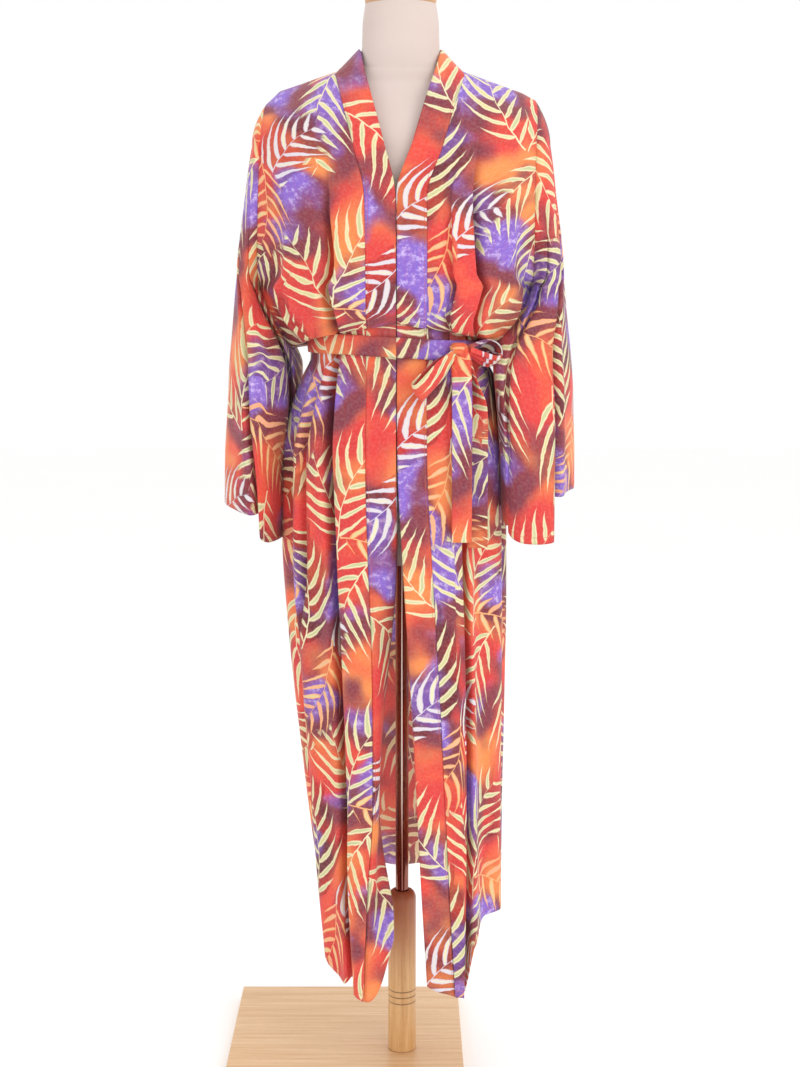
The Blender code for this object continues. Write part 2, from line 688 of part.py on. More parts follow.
# Belt round the gathered waist
def belt_ring():
    rim = []
    for half, front in ((LEFT, True), (LEFT, False), (RIGHT, False), (RIGHT, True)):
        line = body_line(BELT_CLOTH, half, front)
        shares = np.linspace(0, 1, BELT_COLUMNS)
        forward = half == LEFT
        line = along(line, shares if forward else 1 - shares)
        rim.append(line[:-1] if (half, front) != (RIGHT, True) else line)
    return np.concatenate(rim)


ring = belt_ring()
ring = np.vstack([ring[:-1], (ring[-1:] + ring[:1]) / 2])[:-1]
way = np.roll(ring, -1, axis=0) - np.roll(ring, 1, axis=0)
ring_out = unit(np.stack([way[:, 1], -way[:, 0], 0 * way[:, 0]], axis=1))
if (ring_out * ring).sum() < 0:
    ring_out = -ring_out
belt_rest = WALL / 2 + BELT_SPACE + BELT_WALL / 2
belt_line = ring + ring_out * belt_rest
belt_line[:, 2] = (BELT_HEIGHT - BELT_SLOPE * np.clip(belt_line[:, 0], -0.07, 0.07)) * MM
belt_grid = np.stack([belt_line + [0, 0, BELT_WIDE / 2 * s] for s in (1, 0, -1)])
belt_faces = np.repeat(ring_out[None], 3, axis=0)

# Bow: knot, two loops and two tails in front of the belt
front_side = belt_line[:, 1] < 0
order = np.argsort(belt_line[front_side][:, 0])
front_belt, front_out = belt_line[front_side][order], ring_out[front_side][order]
knot_at = np.array([np.interp(BOW_AT_X, front_belt[:, 0], front_belt[:, k]) for k in range(3)])
out = unit(np.array([np.interp(BOW_AT_X, front_belt[:, 0], front_out[:, k]) for k in range(3)]))
across = unit(np.cross(np.array([0, 0, 1.0]), out))
if across[0] < 0:
    across = -across
upward = np.array([0, 0, 1.0])
knot_middle = knot_at + out * (BELT_WALL / 2 + SEAM + KNOT_SIZE[1] / 2)


def ribbon(name, path, side, normals, thick, look):
    grid = np.stack([path - side / 2, path, path + side / 2], axis=1)
    faces = np.repeat(normals[:, None], 3, axis=1)
    return sheet(name, grid, faces, thick, look)


def pinched(distance, reach):
    # The belt is drawn together where it leaves the knot
    return BELT_WIDE * (PINCH + (1 - PINCH) * np.clip(distance / reach, 0, 1))


for half, name, look in (
    (LEFT, "front_right_panel", RED_RAYON),
    (RIGHT, "front_left_panel", RED_RAYON),
):
    sheet(name, fronts[half], front_faces[half], WALL, look)
sheet("back_panel", back, back_faces, WALL, RED_RAYON)
sheet("sleeve_right", sleeves[LEFT], sleeve_faces[LEFT], WALL, ORANGE_RAYON)
sheet("sleeve_left", sleeves[RIGHT], sleeve_faces[RIGHT], WALL, ORANGE_RAYON)
sheet("neck_band", band, band_faces, BAND_WALL, PURPLE_RAYON)
sheet("belt_waist", belt_grid, belt_faces, BELT_WALL, ORANGE_RAYON, ring=True)

for i, name in enumerate(("belt_loop_right", "belt_loop_left")):
    turn = math.radians(LOOPS["angle"][i])
    run = across * math.cos(turn) + upward * math.sin(turn)
    side = unit(np.cross(run, out))
    long, spread = LOOPS["long"][i] * MM, LOOPS["spread"][i] * MM
    start = KNOT_SIZE[0] * KNOT_HOLD + SEAM
    places = np.linspace(start, long - spread / 2, 6)
    bends = np.linspace(-math.pi / 2, math.pi / 2, 9)[1:-1]
    path = [knot_middle + run * p - out * spread / 2 for p in places]
    end = knot_middle + run * places[-1]
    path += [end + (run * math.cos(b) + out * math.sin(b)) * spread / 2 for b in bends]
    path += [knot_middle + run * p + out * spread / 2 for p in places[::-1]]
    path = np.array(path)
    distance = np.abs((path - knot_middle) @ run) - start
    normals = [-out] * 6 + [run * math.cos(b) + out * math.sin(b) for b in bends] + [out] * 6
    wide = pinched(distance, LOOP_PINCH_REACH)
    ribbon(name, path, side * wide[:, None], np.array(normals), BELT_WALL, ORANGE_RAYON)


def front_surface(x, heights):
    # Foremost point of the wearer's left front near this place, at each height
    grid = np.concatenate([bands[RIGHT], fronts[RIGHT]], axis=1)
    found = []
    for height in heights:
        level = np.abs(grid[:, :, 2] - height) < TAIL_LOOK
        near = np.abs(grid[:, :, 0] - x) < BELT_WIDE * 0.75
        found.append(grid[:, :, 1][level & near].min())
    return np.array(found)


for i, name in enumerate(("belt_tail_right", "belt_tail_left")):
    places = np.linspace(0, 1, TAIL_ROWS)
    start = knot_middle - upward * (KNOT_SIZE[2] / 2 + 2 * SEAM)
    heights = start[2] - places * TAILS["long"][i] * MM
    shift = TAILS["from"][i] + (TAILS["across"][i] - TAILS["from"][i]) * np.clip(places * 5, 0, 1) ** 0.8
    aside = start[0] + shift * MM
    cloth = front_surface(TAILS["across"][i] * MM + start[0], heights)
    lie = np.minimum.accumulate(cloth) - WALL / 2 - BELT_WALL / 2 - TAILS["lift"][i] * MM
    ease = np.clip(places * 6, 0, 1)
    deep = start[1] * (1 - ease) + np.minimum(lie, start[1]) * ease
    path = np.stack([aside, deep, heights], axis=1)
    turn = np.radians(TAILS["turn"][i]) * np.sin(np.clip(places * 1.6, 0, 1) * math.pi) ** 2
    side = np.stack([np.cos(turn), -np.sin(turn), 0 * turn], axis=1)
    face = np.stack([-np.sin(turn), -np.cos(turn), 0 * turn], axis=1)
    wide = pinched(places * TAILS["long"][i] * MM, TAIL_PINCH_REACH)
    ribbon(name, path, side * wide[:, None], face, BELT_WALL, ORANGE_RAYON)

knot = bmesh.new()
bmesh.ops.create_icosphere(knot, subdivisions=2, radius=0.5)
knot_mesh = bpy.data.meshes.new("belt_knot")
knot.to_mesh(knot_mesh)
knot.free()
basis = np.stack([across * KNOT_SIZE[0], -out * KNOT_SIZE[1], upward * KNOT_SIZE[2]], axis=1)
for vertex in knot_mesh.vertices:
    vertex.co = basis @ np.array(vertex.co) + knot_middle + [0, 0, BOARD_THICK]
add("belt_knot", knot_mesh, ORANGE_RAYON)


# Dress form and stand
def torso_ring(height, count=32):
    wide = smooth(TORSO["height"], TORSO["wide"], height)
    front = smooth(TORSO["height"], TORSO["front"], height)
    rear = smooth(TORSO["height"], TORSO["back"], height)
    turn = np.linspace(0, 2 * math.pi, count, endpoint=False)
    x = wide * np.sign(np.sin(turn)) * np.abs(np.sin(turn)) ** FORM_ROUND
    depth = np.where(np.cos(turn) > 0, -front, rear)
    y = -depth * np.sign(np.cos(turn)) * np.abs(np.cos(turn)) ** FORM_ROUND
    points = np.stack([x, y, 0 * x + height], axis=1) * MM
    return points + [TORSO_SHIFT_X, 0, BOARD_THICK]


heights = np.sort(np.concatenate([TORSO["height"], TORSO_BETWEEN]))
work = bmesh.new()
rings = [[work.verts.new(p) for p in torso_ring(h)] for h in heights]
for low_ring, high_ring in zip(rings, rings[1:]):
    for a in range(len(low_ring)):
        b = (a + 1) % len(low_ring)
        work.faces.new((low_ring[a], low_ring[b], high_ring[b], high_ring[a]))
work.faces.new(rings[0][::-1])
work.faces.new(rings[-1])
bmesh.ops.recalc_face_normals(work, faces=work.faces)
torso_mesh = bpy.data.meshes.new("form_torso")
work.to_mesh(torso_mesh)
work.free()
add("form_torso", torso_mesh, LINEN)


def turned(name, profile, look, place):
    # A profile of (radius, height) turned round the upright axis
    mesh = bpy.data.meshes.new(name)
    mesh.from_pydata([(r, 0, h) for r, h in profile], [(i, i + 1) for i in range(len(profile) - 1)], [])
    made = add(name, mesh, look)
    made.location = place
    spin = made.modifiers.new("turning", "SCREW")
    spin.steps = TURN_STEPS
    spin.render_steps = TURN_STEPS
    spin.use_merge_vertices = True
    spin.merge_threshold = 0.00005
    spin.use_smooth_shade = True
    return made


top = TORSO["height"][-1] * MM
cap_profile = [(0, CAP_HIGH)]
for degrees in (70, 50, 30, 12):
    angle = math.radians(degrees)
    rise = (CAP_HIGH - CAP_RIM) * math.sin(angle)
    cap_profile.append((CAP_RADIUS * math.cos(angle), CAP_RIM + rise))
cap_profile += [(CAP_RADIUS, CAP_SIDE), (CAP_RADIUS - CAP_EDGE, 0), (0, 0)]
turned("neck_cap", cap_profile, BEECH, (TORSO_SHIFT_X, 0, BOARD_THICK + top + SEAM))

pole_foot = POST_HIGH - POST_SOCKET + 2 * SEAM
pole_top = FORM_BOTTOM - SEAM
turned(
    "pole",
    [(0, pole_top), (POLE_RADIUS, pole_top), (POLE_RADIUS, pole_foot), (0, pole_foot)],
    STEEL,
    (0, 0, BOARD_THICK),
)

bore = POLE_RADIUS + POLE_FIT
post_lip = bore + POST_LIP
post_profile = [(0, POST_HIGH - POST_SOCKET), (bore, POST_HIGH - POST_SOCKET), (bore, POST_HIGH - POST_LIP)]
for degrees in (75, 55, 35, 15, 0):
    angle = math.radians(degrees)
    radius = post_lip + (POST_RADIUS - post_lip) * math.cos(angle)
    post_profile.append((radius, POST_HIGH - POST_DOME * (1 - math.sin(angle))))
for height in POST_GROOVE_HEIGHTS[::-1]:
    for rise, depth in ((GROOVE_HALF, 0), (0, POST_GROOVE), (-GROOVE_HALF, 0)):
        post_profile.append((POST_RADIUS - depth, height + rise))
post_profile += [(POST_RADIUS, POST_EDGE), (POST_RADIUS - POST_EDGE, 0), (0, 0)]
turned("post", post_profile, BEECH, (0, 0, BOARD_THICK + SEAM))

work = bmesh.new()
bmesh.ops.create_cube(work, size=1)
bmesh.ops.scale(work, vec=(BOARD_WIDE, BOARD_DEEP, BOARD_THICK), verts=work.verts)
board_mesh = bpy.data.meshes.new("base_board")
work.to_mesh(board_mesh)
work.free()
board = add("base_board", board_mesh, BEECH)
board.location = (BOARD_MIDDLE_X, BOARD_MIDDLE_Y, BOARD_THICK / 2)
rounding = board.modifiers.new("rounding", "BEVEL")
rounding.width = BOARD_EDGE
rounding.segments = 2
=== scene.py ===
import math
from functools import partial

import bmesh
import bpy
import numpy as np
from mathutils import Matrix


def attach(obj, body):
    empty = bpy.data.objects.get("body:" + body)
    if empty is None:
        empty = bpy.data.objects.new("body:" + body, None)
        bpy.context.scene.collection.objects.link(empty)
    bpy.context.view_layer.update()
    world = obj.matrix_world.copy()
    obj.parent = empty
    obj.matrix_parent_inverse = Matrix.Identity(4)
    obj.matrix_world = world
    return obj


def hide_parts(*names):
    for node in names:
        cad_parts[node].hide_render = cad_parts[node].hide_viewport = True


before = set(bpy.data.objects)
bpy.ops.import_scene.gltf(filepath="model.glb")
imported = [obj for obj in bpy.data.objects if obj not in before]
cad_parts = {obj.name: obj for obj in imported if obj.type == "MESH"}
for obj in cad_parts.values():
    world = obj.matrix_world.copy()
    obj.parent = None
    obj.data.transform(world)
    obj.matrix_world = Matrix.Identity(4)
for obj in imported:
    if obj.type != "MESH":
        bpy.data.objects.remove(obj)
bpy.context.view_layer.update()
print("frame loaded:", len(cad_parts), "nodes")

mm = 0.001
left, right = -1, 1  # as seen in the picture; left is the wearer's right side
boardTop = 0.020
linePoints = 65


def linear(hexColour):
    # sRGB hex to the linear colour that shaders take
    parts = [int(hexColour[i : i + 2], 16) / 255 for i in (1, 3, 5)]
    return tuple(c / 12.92 if c <= 0.04045 else ((c + 0.055) / 1.055) ** 2.4 for c in parts) + (1.0,)


def fill(tree, node, sockets):
    # a socket is joined to the socket given for it, or set to the value
    for name, source in sockets.items():
        if isinstance(source, bpy.types.NodeSocket):
            tree.links.new(source, node.inputs[name])
        else:
            node.inputs[name].default_value = source


def addNode(tree, kind, *inputs, named=None, out=0, **settings):
    # one node with its settings; its inputs are joined or filled in order, then by name
    made = tree.nodes.new("ShaderNode" + kind)
    for name, value in settings.items():
        setattr(made, name, value)
    fill(tree, made, {**dict(enumerate(inputs)), **(named or {})})
    return made.outputs if out is None else made.outputs[out]


def newMaterial(name):
    # the material, what adds a node to it, and what fills in its shader
    made = bpy.data.materials.new(name)
    made.use_nodes = True
    tree = made.node_tree
    return made, partial(addNode, tree), partial(fill, tree, tree.nodes["Principled BSDF"])


def colours(first, second):
    # the two colours of a mix, as hex or from another node
    pair = (linear(c) if isinstance(c, str) else c for c in (first, second))
    return dict(zip((6, 7), pair))


mixed = dict(out=2, data_type="RGBA")
softEdge = dict(interpolation_type="SMOOTHSTEP")
waveBands = 3.18  # bands to the metre when a wave's scale is 1


studio = dict(
    lens=57.36, place=(-0.003, -2.4, 1.1625), tip=8.65,  # the photograph's viewpoint
    world=1.0, key=24.0, fill=4.0, top=6.0, back=8.0,
)
scene = bpy.context.scene
scene.view_settings.view_transform = "Standard"  # so that the dyes show as their hex values say
lens = bpy.data.cameras.new("camera")
lens.lens = studio["lens"]
lens.sensor_width = 36
camera = bpy.data.objects.new("camera", lens)
camera.location = studio["place"]
camera.rotation_euler = (math.radians(90 - studio["tip"]), 0, 0)
scene.collection.objects.link(camera)
scene.camera = camera

world = bpy.data.worlds.new("white studio")
world.use_nodes = True
sky = world.node_tree.nodes["Background"]
fill(world.node_tree, sky, {"Color": linear("#FFFFFF"), "Strength": studio["world"]})
scene.world = world


def softbox(name, power, size, place, target):
    light = bpy.data.lights.new(name, "AREA")
    light.energy = power
    light.shape = "RECTANGLE"
    light.size, light.size_y = size
    made = bpy.data.objects.new(name, light)
    made.location = place
    aim = np.array(target, float) - np.array(place, float)
    tilt = math.acos(-aim[2] / np.linalg.norm(aim))
    made.rotation_euler = (tilt, 0, math.atan2(aim[1], aim[0]) - math.pi / 2)
    scene.collection.objects.link(made)


softbox("key", studio["key"], (1.6, 2.2), (1.7, -2.2, 2.3), (0, 0, 0.85))
softbox("fill", studio["fill"], (1.6, 2.2), (-2.0, -1.8, 1.5), (0, 0, 0.85))
softbox("top", studio["top"], (2.4, 2.4), (0, 0.3, 3.0), (0, 0, 0.8))
softbox("back", studio["back"], (2.2, 2.0), (0.6, 2.6, 2.0), (0, 0, 0.85))

paper, add, shade = newMaterial("white studio paper")  # matt, with the faintest mottle
mottle = add("TexNoise", add("TexCoord", out="Object"), named={"Scale": 1.5, "Detail": 3.0})
tone = add("Mix", mottle, named=colours("#FDFDFC", "#FFFFFF"), **mixed)
shade({"Base Color": tone, "Roughness": 0.9})
floorMesh = bpy.data.meshes.new("floor")
floorMesh.from_pydata([(-9, -9, 0), (9, -9, 0), (9, 9, 0), (-9, 9, 0)], [], [(0, 1, 2, 3)])
floorMesh.materials.append(paper)
floor = bpy.data.objects.new("floor", floorMesh)
scene.collection.objects.link(floor)
print("studio set")


# the robe's sizes; its rings are the solids' on a finer grid, apart from the shoulders, the front edges,
# the hem, the cuffs and the sleeves' edges, which are set nearer the photograph
robe = dict(
    bandWide=0.040, bandThick=0.0018, bandProud=0.0007, thick=0.0009,
    beltWide=0.027, beltLong=0.76, beltThick=0.0016, beltCrown=0.0008, beltRest=0.0040,
    beltHeight=1045.5, beltSlope=60.0, beltSlopeTo=0.070, beltGrip=0.8, beltReach=17.0,
    shoulderCloth=30.0, shoulderBend=1.7, headCloth=75.0, underarmCloth=330.0, beltCloth=487.0,
    hemCloth=1295.0, sideY=3.0, rounding=0.55, dropEase=1.42, headFull=0.005, creaseFrom=40.0,
    creaseFade=60.0,
)
neckPoint = {left: (85.5, 3.0, 1419.0), right: (79.5, 3.0, 1419.0)}
shoulderRound = {left: (168.0, 2.5, 1391.5), right: (165.0, 2.5, 1389.0)}
shoulderTip = {left: (186.0, 2.0, 1374.0), right: (183.0, 2.0, 1379.0)}
collarTop = {left: (58.5, 3.0, 1447.5), right: (54.5, 3.0, 1446.0)}
backNeck = (0.0, 74.0, 1409.0)
neckMiddleY = 0.012
bandTilt = dict(side=45.0, back=18.0)
letter = {left: "L", right: "R"}


def table(columns, rows):
    return {name: np.array(values, float) for name, values in zip(columns.split(), zip(*rows))}


# millimetres: cloth runs down the panel, front, side and back are heights over the board
bodyRings = table(
    "cloth front side back openL openR wideL wideR fore armF armB rear square",
    [
        (30, 1425, 1366, 1389, -53, 47, 187.5, 184, -36, -24, 27, 92, 2.6),
        (75, 1375, 1341, 1350, -40, 31, 190, 182.5, -84, -45, 50, 105, 2.8),
        (135, 1318, 1290, 1295, -25, 14, 193, 180, -110, -56, 62, 113, 3.0),
        (210, 1246, 1222, 1222, -9.2, -7.8, 195, 179, -126, -59, 66, 116, 3.2),
        (275, 1180, 1165, 1165, -8.4, -7.2, 196, 178.5, -129, -52, 58, 115, 3.2),
        (305, 1150, 1140, 1140, -8.4, -7.2, 196, 178, -128, -36, 42, 114, 3.1),
        (330, 1126, 1122, 1122, -8.4, -7.2, 195, 177.5, -126, 3, 3, 114, 3.0),
        (365, 1096, 1088, 1088, -8.4, -7.2, 185, 172, -122, 3, 3, 114, 2.8),
        (395, 1086, 1056, 1060, -8.4, -7.2, 167, 154, -117, 3, 3, 113, 2.5),
        (412, 1082, 1041, 1046, -8.4, -7.2, 153, 142, -114, 3, 3, 110, 2.3),
        (424, 1079, 1044, 1049, -8.4, -7.2, 143, 132.5, -112, 3, 3, 103, 2.3),
        (440, 1078, 1065, 1067, -8.4, -7.2, 139.5, 129, -110.5, 3, 3, 99.5, 2.3),
        (452, 1076, 1075.5, 1076.5, -8.4, -7.2, 134, 123.5, -108.5, 3, 3, 95.5, 2.3),
        (462, 1072, 1073.5, 1073.5, -8.4, -7.2, 129, 118.5, -107, 3, 3, 92.5, 2.3),
        (475, 1055, 1056, 1056, -8.4, -7.2, 127.5, 117, -106, 3, 3, 91, 2.3),
        (500, 1028, 1029, 1029, -8.4, -7.2, 127.5, 117, -106, 3, 3, 91, 2.3),
        (525, 1004, 1004, 1004, -8.4, -7.2, 138, 128, -110, 3, 3, 97, 2.3),
        (560, 970, 970, 970, -8.4, -7.2, 151, 137, -115, 3, 3, 104, 2.3),
        (630, 900, 900, 900, -8.4, -6.4, 166, 142, -120, 3, 3, 115, 2.3),
        (750, 780, 780, 780, -5, 0, 166, 144, -123, 3, 3, 122, 2.3),
        (870, 662, 660, 660, 0, 8, 159, 145, -125, 3, 3, 125, 2.3),
        (960, 574, 570, 570, 1, 14, 151, 144, -126, 3, 3, 127, 2.3),
        (1060, 476, 472, 472, 1, 20, 140.5, 143, -127, 3, 3, 128.5, 2.3),
        (1150, 388, 384, 384, -5, 25, 131, 142, -128, 3, 3, 130, 2.3),
        (1295, 240, 238, 238, -12, 35, 112, 142, -128, 3, 3, 131, 2.3),
    ],
)
hemDrop = table(
    "around L R",
    [
        (0.00, 21, 88), (0.05, 58, 94), (0.10, 90, 98), (0.15, 107, 101), (0.19, 112, 104), (0.24, 107, 107),
        (0.285, 100, 107), (0.325, 87, 58), (0.34, 85, 40), (0.40, 91, 22), (0.47, 97, 10), (0.53, 88, 5),
        (0.59, 76, 3), (0.66, 58, 1), (0.80, 32, 0), (1.00, 6, 0), (1.40, 0, 0), (2.00, 0, 0),
    ],
)
# broad folds: at counts round the half ring, 0 front edge, 1 side seam, 2 middle of the back
bodyFolds = table(
    "half at wide lean chest pouch belt hip knee hem",
    [
        (left, 0.27, 0.17, 0.15, 3, 4, 0.8, 8, 11, 11),
        (left, 0.47, 0.14, 0.20, -3, -4, -1.2, -3, -3, -3),
        (left, 0.62, 0.15, 0.50, 4, 7, 0.9, 9, 12, 12),
        (left, 0.79, 0.13, 0.20, -2, -5, -0.9, -7, -8, -8),
        (left, 0.98, 0.16, 0.20, 1, 3, 0.7, 4, 6, 5),
        (left, 1.20, 0.14, -0.30, -3, -5, -1.0, -9, -11, -12),
        (left, 1.40, 0.15, 0.40, 3, 4, 0.9, 9, 13, 14),
        (left, 1.60, 0.14, 0.10, -3, -4, -1.0, -10, -13, -15),
        (left, 1.80, 0.15, -0.40, 3, 5, 0.9, 10, 14, 16),
        (right, 0.33, 0.17, 0.15, 5, 6, 0.9, 7, 9, 9),
        (right, 0.55, 0.13, 0.20, -3, -4, -1.2, -4, -4, -4),
        (right, 0.69, 0.15, 0.45, 4, 6, 0.9, 8, 10, 10),
        (right, 0.86, 0.13, 0.10, -3, -4, -0.9, -6, -7, -7),
        (right, 1.03, 0.15, 0.20, 1, 3, 0.7, 5, 5, 4),
        (right, 1.24, 0.14, -0.20, -3, -5, -1.0, -9, -12, -13),
        (right, 1.44, 0.15, 0.30, 3, 4, 0.9, 9, 12, 14),
        (right, 1.65, 0.14, 0.00, -4, -5, -1.0, -10, -12, -14),
        (right, 1.85, 0.14, -0.40, 3, 4, 0.8, 8, 11, 13),
    ],
)
foldCloth = np.array([75, 210, 372, 430, 505, 650, 960, 1295], float)
foldDepths = (None, "chest", "pouch", "belt", "belt", "hip", "knee", "hem")

# sharp folds where one strip of cloth lies over the next, by place on the cloth; over is 1 where the strip
# nearer the start of the row is on top; under, lift, dip, trough and crest are millimetres
pleatCloth = np.array([60, 150, 210, 280, 370, 440, 487, 545, 760, 960, 1160, 1295], float)
pleats = {
    (left, "front"): [
        dict(
            over=1, under=22, lift=6.0, dip=32.0, trough=12.0, crest=12.0, span=0.04,
            place=(0.42, 0.42, 0.42, 0.37, 0.325, 0.41, 0.46, 0.42, 0.36, 0.352, 0.34, 0.285),
            strength=(0, 0, 0.2, 0.65, 0.7, 0.7, 0.3, 0.8, 0.95, 1, 1, 1),
        ),
        dict(
            over=1, under=9, lift=3.0, dip=9.0, trough=9.0, crest=5.0, span=0.0,
            place=(0.62, 0.62, 0.62, 0.61, 0.60, 0.60, 0.60, 0.56, 0.56, 0.72, 0.82, 0.88),
            strength=(0, 0, 0, 0.1, 0.3, 0.4, 0.2, 0.8, 0.9, 0.2, 0.1, 0),
        ),
    ],
    (right, "front"): [
        dict(
            over=-1, under=8, lift=2.2, dip=6.0, trough=7.0, crest=2.0, span=0.0,
            place=(0.31, 0.31, 0.31, 0.31, 0.275, 0.385, 0.36, 0.31, 0.28, 0.25, 0.235, 0.22),
            strength=(0, 0.1, 0.4, 0.6, 0.8, 0.8, 0.2, 0.2, 0, 0, 0, 0),
        ),
        dict(
            over=1, under=18, lift=4.0, dip=18.0, trough=9.0, crest=7.0, span=0.02,
            place=(0.46, 0.47, 0.485, 0.485, 0.425, 0.58, 0.54, 0.42, 0.365, 0.342, 0.31, 0.268),
            strength=(0, 0.2, 0.5, 0.9, 1, 1, 0.3, 1, 1, 1, 1, 0.9),
        ),
    ],
    (left, "back"): [
        dict(
            over=1, under=18, lift=4.5, dip=14.0, trough=9.0, crest=6.0, span=0.0,
            place=(0.48, 0.48, 0.48, 0.48, 0.47, 0.47, 0.46, 0.44, 0.42, 0.41, 0.40, 0.40),
            strength=(0, 0, 0.1, 0.2, 0.5, 0.7, 0.3, 1, 0.9, 0.8, 0.75, 0.7),
        ),
        dict(
            over=1, under=13, lift=3.5, dip=11.0, trough=8.0, crest=5.0, span=0.0,
            place=(0.78, 0.78, 0.78, 0.78, 0.77, 0.76, 0.75, 0.73, 0.74, 0.76, 0.79, 0.80),
            strength=(0, 0, 0, 0.1, 0.3, 0.5, 0.2, 0.7, 1, 0.9, 0.8, 0.6),
        ),
    ],
    (right, "back"): [
        dict(
            over=-1, under=14, lift=3.5, dip=11.0, trough=8.0, crest=5.0, span=0.0,
            place=(0.32, 0.32, 0.32, 0.31, 0.31, 0.30, 0.30, 0.29, 0.27, 0.25, 0.24, 0.24),
            strength=(0, 0, 0, 0.1, 0.4, 0.6, 0.2, 0.8, 0.9, 1, 0.8, 0.7),
        ),
        dict(
            over=-1, under=16, lift=4.0, dip=12.0, trough=9.0, crest=5.0, span=0.0,
            place=(0.60, 0.60, 0.60, 0.61, 0.62, 0.62, 0.62, 0.60, 0.58, 0.56, 0.55, 0.55),
            strength=(0, 0, 0.1, 0.3, 0.6, 0.8, 0.3, 0.9, 1, 0.8, 0.7, 0.6),
        ),
    ],
}
pleatLook = dict(reach=0.028, gap=0.0021, slack=0.004, turn=9, splay=0.3)

# creases: from (at0, cloth0) to (at1, cloth1), half width and depth in millimetres, ridges above 0
creases = table(
    "half at0 cloth0 at1 cloth1 wide depth",
    [
        (left, 0.86, 120, 0.60, 330, 14, 3.0),
        (left, 0.95, 150, 0.75, 380, 11, -2.6),
        (left, 0.30, 250, 0.34, 430, 9, 2.2),
        (left, 0.50, 260, 0.52, 420, 10, 3.5),
        (left, 0.70, 300, 0.62, 440, 10, 3.0),
        (left, 0.85, 330, 0.78, 420, 9, -3.0),
        (left, 0.22, 560, 0.18, 980, 9, 1.6),
        (left, 0.72, 520, 0.66, 900, 10, 2.4),
        (left, 0.88, 540, 0.84, 820, 10, -2.2),
        (left, 0.60, 860, 0.52, 1250, 11, 2.6),
        (left, 0.82, 900, 0.78, 1290, 12, -2.4),
        (left, 1.10, 140, 1.25, 400, 13, 2.6),
        (left, 1.30, 500, 1.34, 900, 10, -2.4),
        (left, 1.52, 520, 1.50, 1000, 11, 2.6),
        (left, 1.70, 260, 1.66, 470, 10, 2.4),
        (left, 1.88, 500, 1.90, 820, 10, -2.0),
        (left, 1.72, 840, 1.74, 1290, 12, 2.4),
        (right, 0.88, 130, 0.66, 340, 13, 2.8),
        (right, 0.92, 260, 0.80, 420, 10, -2.6),
        (right, 0.24, 240, 0.26, 440, 9, 1.6),
        (right, 0.62, 270, 0.60, 430, 10, 3.0),
        (right, 0.76, 320, 0.70, 430, 9, 2.6),
        (right, 0.22, 600, 0.18, 1000, 9, 1.4),
        (right, 0.60, 520, 0.58, 860, 10, 2.2),
        (right, 0.78, 530, 0.74, 800, 10, 2.0),
        (right, 0.70, 880, 0.66, 1290, 11, -2.2),
        (right, 1.12, 150, 1.28, 400, 13, 2.4),
        (right, 1.34, 500, 1.36, 860, 10, 2.2),
        (right, 1.55, 280, 1.58, 470, 10, -2.2),
        (right, 1.50, 540, 1.54, 1050, 11, -2.4),
        (right, 1.76, 500, 1.74, 900, 10, 2.2),
        (right, 1.28, 900, 1.30, 1290, 12, 2.2),
    ],
)
creaseScale = 280.0  # millimetres of cloth to one front or half back, and once round a sleeve
# gathers under the belt: place, how far they run up and down, half width, depth in millimetres
gathers = table(
    "half at up down wide depth",
    [
        (left, 0.20, 18, 30, 5, 1.2), (left, 0.27, 26, 60, 6, -2.0), (left, 0.33, 30, 40, 5, 1.8),
        (left, 0.50, 34, 90, 7, 3.0), (left, 0.57, 20, 60, 6, -2.4), (left, 0.67, 30, 80, 7, 2.6),
        (left, 0.76, 22, 50, 6, -2.0), (left, 0.84, 26, 70, 7, 2.2), (left, 0.93, 18, 60, 6, -1.6),
        (left, 1.08, 24, 70, 7, 2.4), (left, 1.17, 20, 50, 6, -2.0), (left, 1.27, 28, 90, 7, 2.6),
        (left, 1.44, 22, 60, 6, 2.0), (left, 1.56, 30, 80, 7, 2.4), (left, 1.68, 18, 50, 6, -2.0),
        (left, 1.90, 24, 70, 6, 2.0),
        (right, 0.22, 20, 40, 5, -1.4), (right, 0.28, 26, 50, 5, 1.8), (right, 0.40, 24, 60, 6, 2.2),
        (right, 0.56, 30, 80, 7, 2.6), (right, 0.65, 20, 50, 6, -2.2), (right, 0.73, 26, 70, 7, 2.4),
        (right, 0.82, 20, 50, 6, -1.8), (right, 0.92, 26, 80, 7, 2.2), (right, 1.06, 18, 50, 6, -1.6),
        (right, 1.15, 26, 80, 7, 2.4), (right, 1.30, 20, 60, 6, 2.0), (right, 1.42, 26, 50, 6, -2.0),
        (right, 1.50, 30, 90, 7, 2.6), (right, 1.72, 20, 60, 6, 2.2), (right, 1.92, 22, 60, 6, -1.8),
    ],
)


def smooth(places, values, at):
    # a curve through the rows that never swings past them
    values = np.asarray(values, float)
    at = np.clip(np.asarray(at, float), places[0], places[-1])
    steps = np.diff(places)
    slopes = np.diff(values) / steps
    ends = np.zeros(len(places))
    for i in range(1, len(places) - 1):
        if slopes[i - 1] * slopes[i] > 0:
            before = 2 * steps[i] + steps[i - 1]
            after = steps[i] + 2 * steps[i - 1]
            ends[i] = (before + after) / (before / slopes[i - 1] + after / slopes[i])
    ends[0], ends[-1] = slopes[0], slopes[-1]
    i = np.clip(np.searchsorted(places, at, side="right") - 1, 0, len(steps) - 1)
    t = (at - places[i]) / steps[i]
    first = values[i] * (1 + 2 * t) * (1 - t) ** 2 + ends[i] * steps[i] * t * (1 - t) ** 2
    return first + values[i + 1] * t**2 * (3 - 2 * t) + ends[i + 1] * steps[i] * t**2 * (t - 1)


def ring(name, cloth):
    return smooth(bodyRings["cloth"], bodyRings[name], cloth)


def lengthsAlong(points):
    return np.concatenate([[0], np.cumsum(np.linalg.norm(np.diff(points, axis=0), axis=1))])


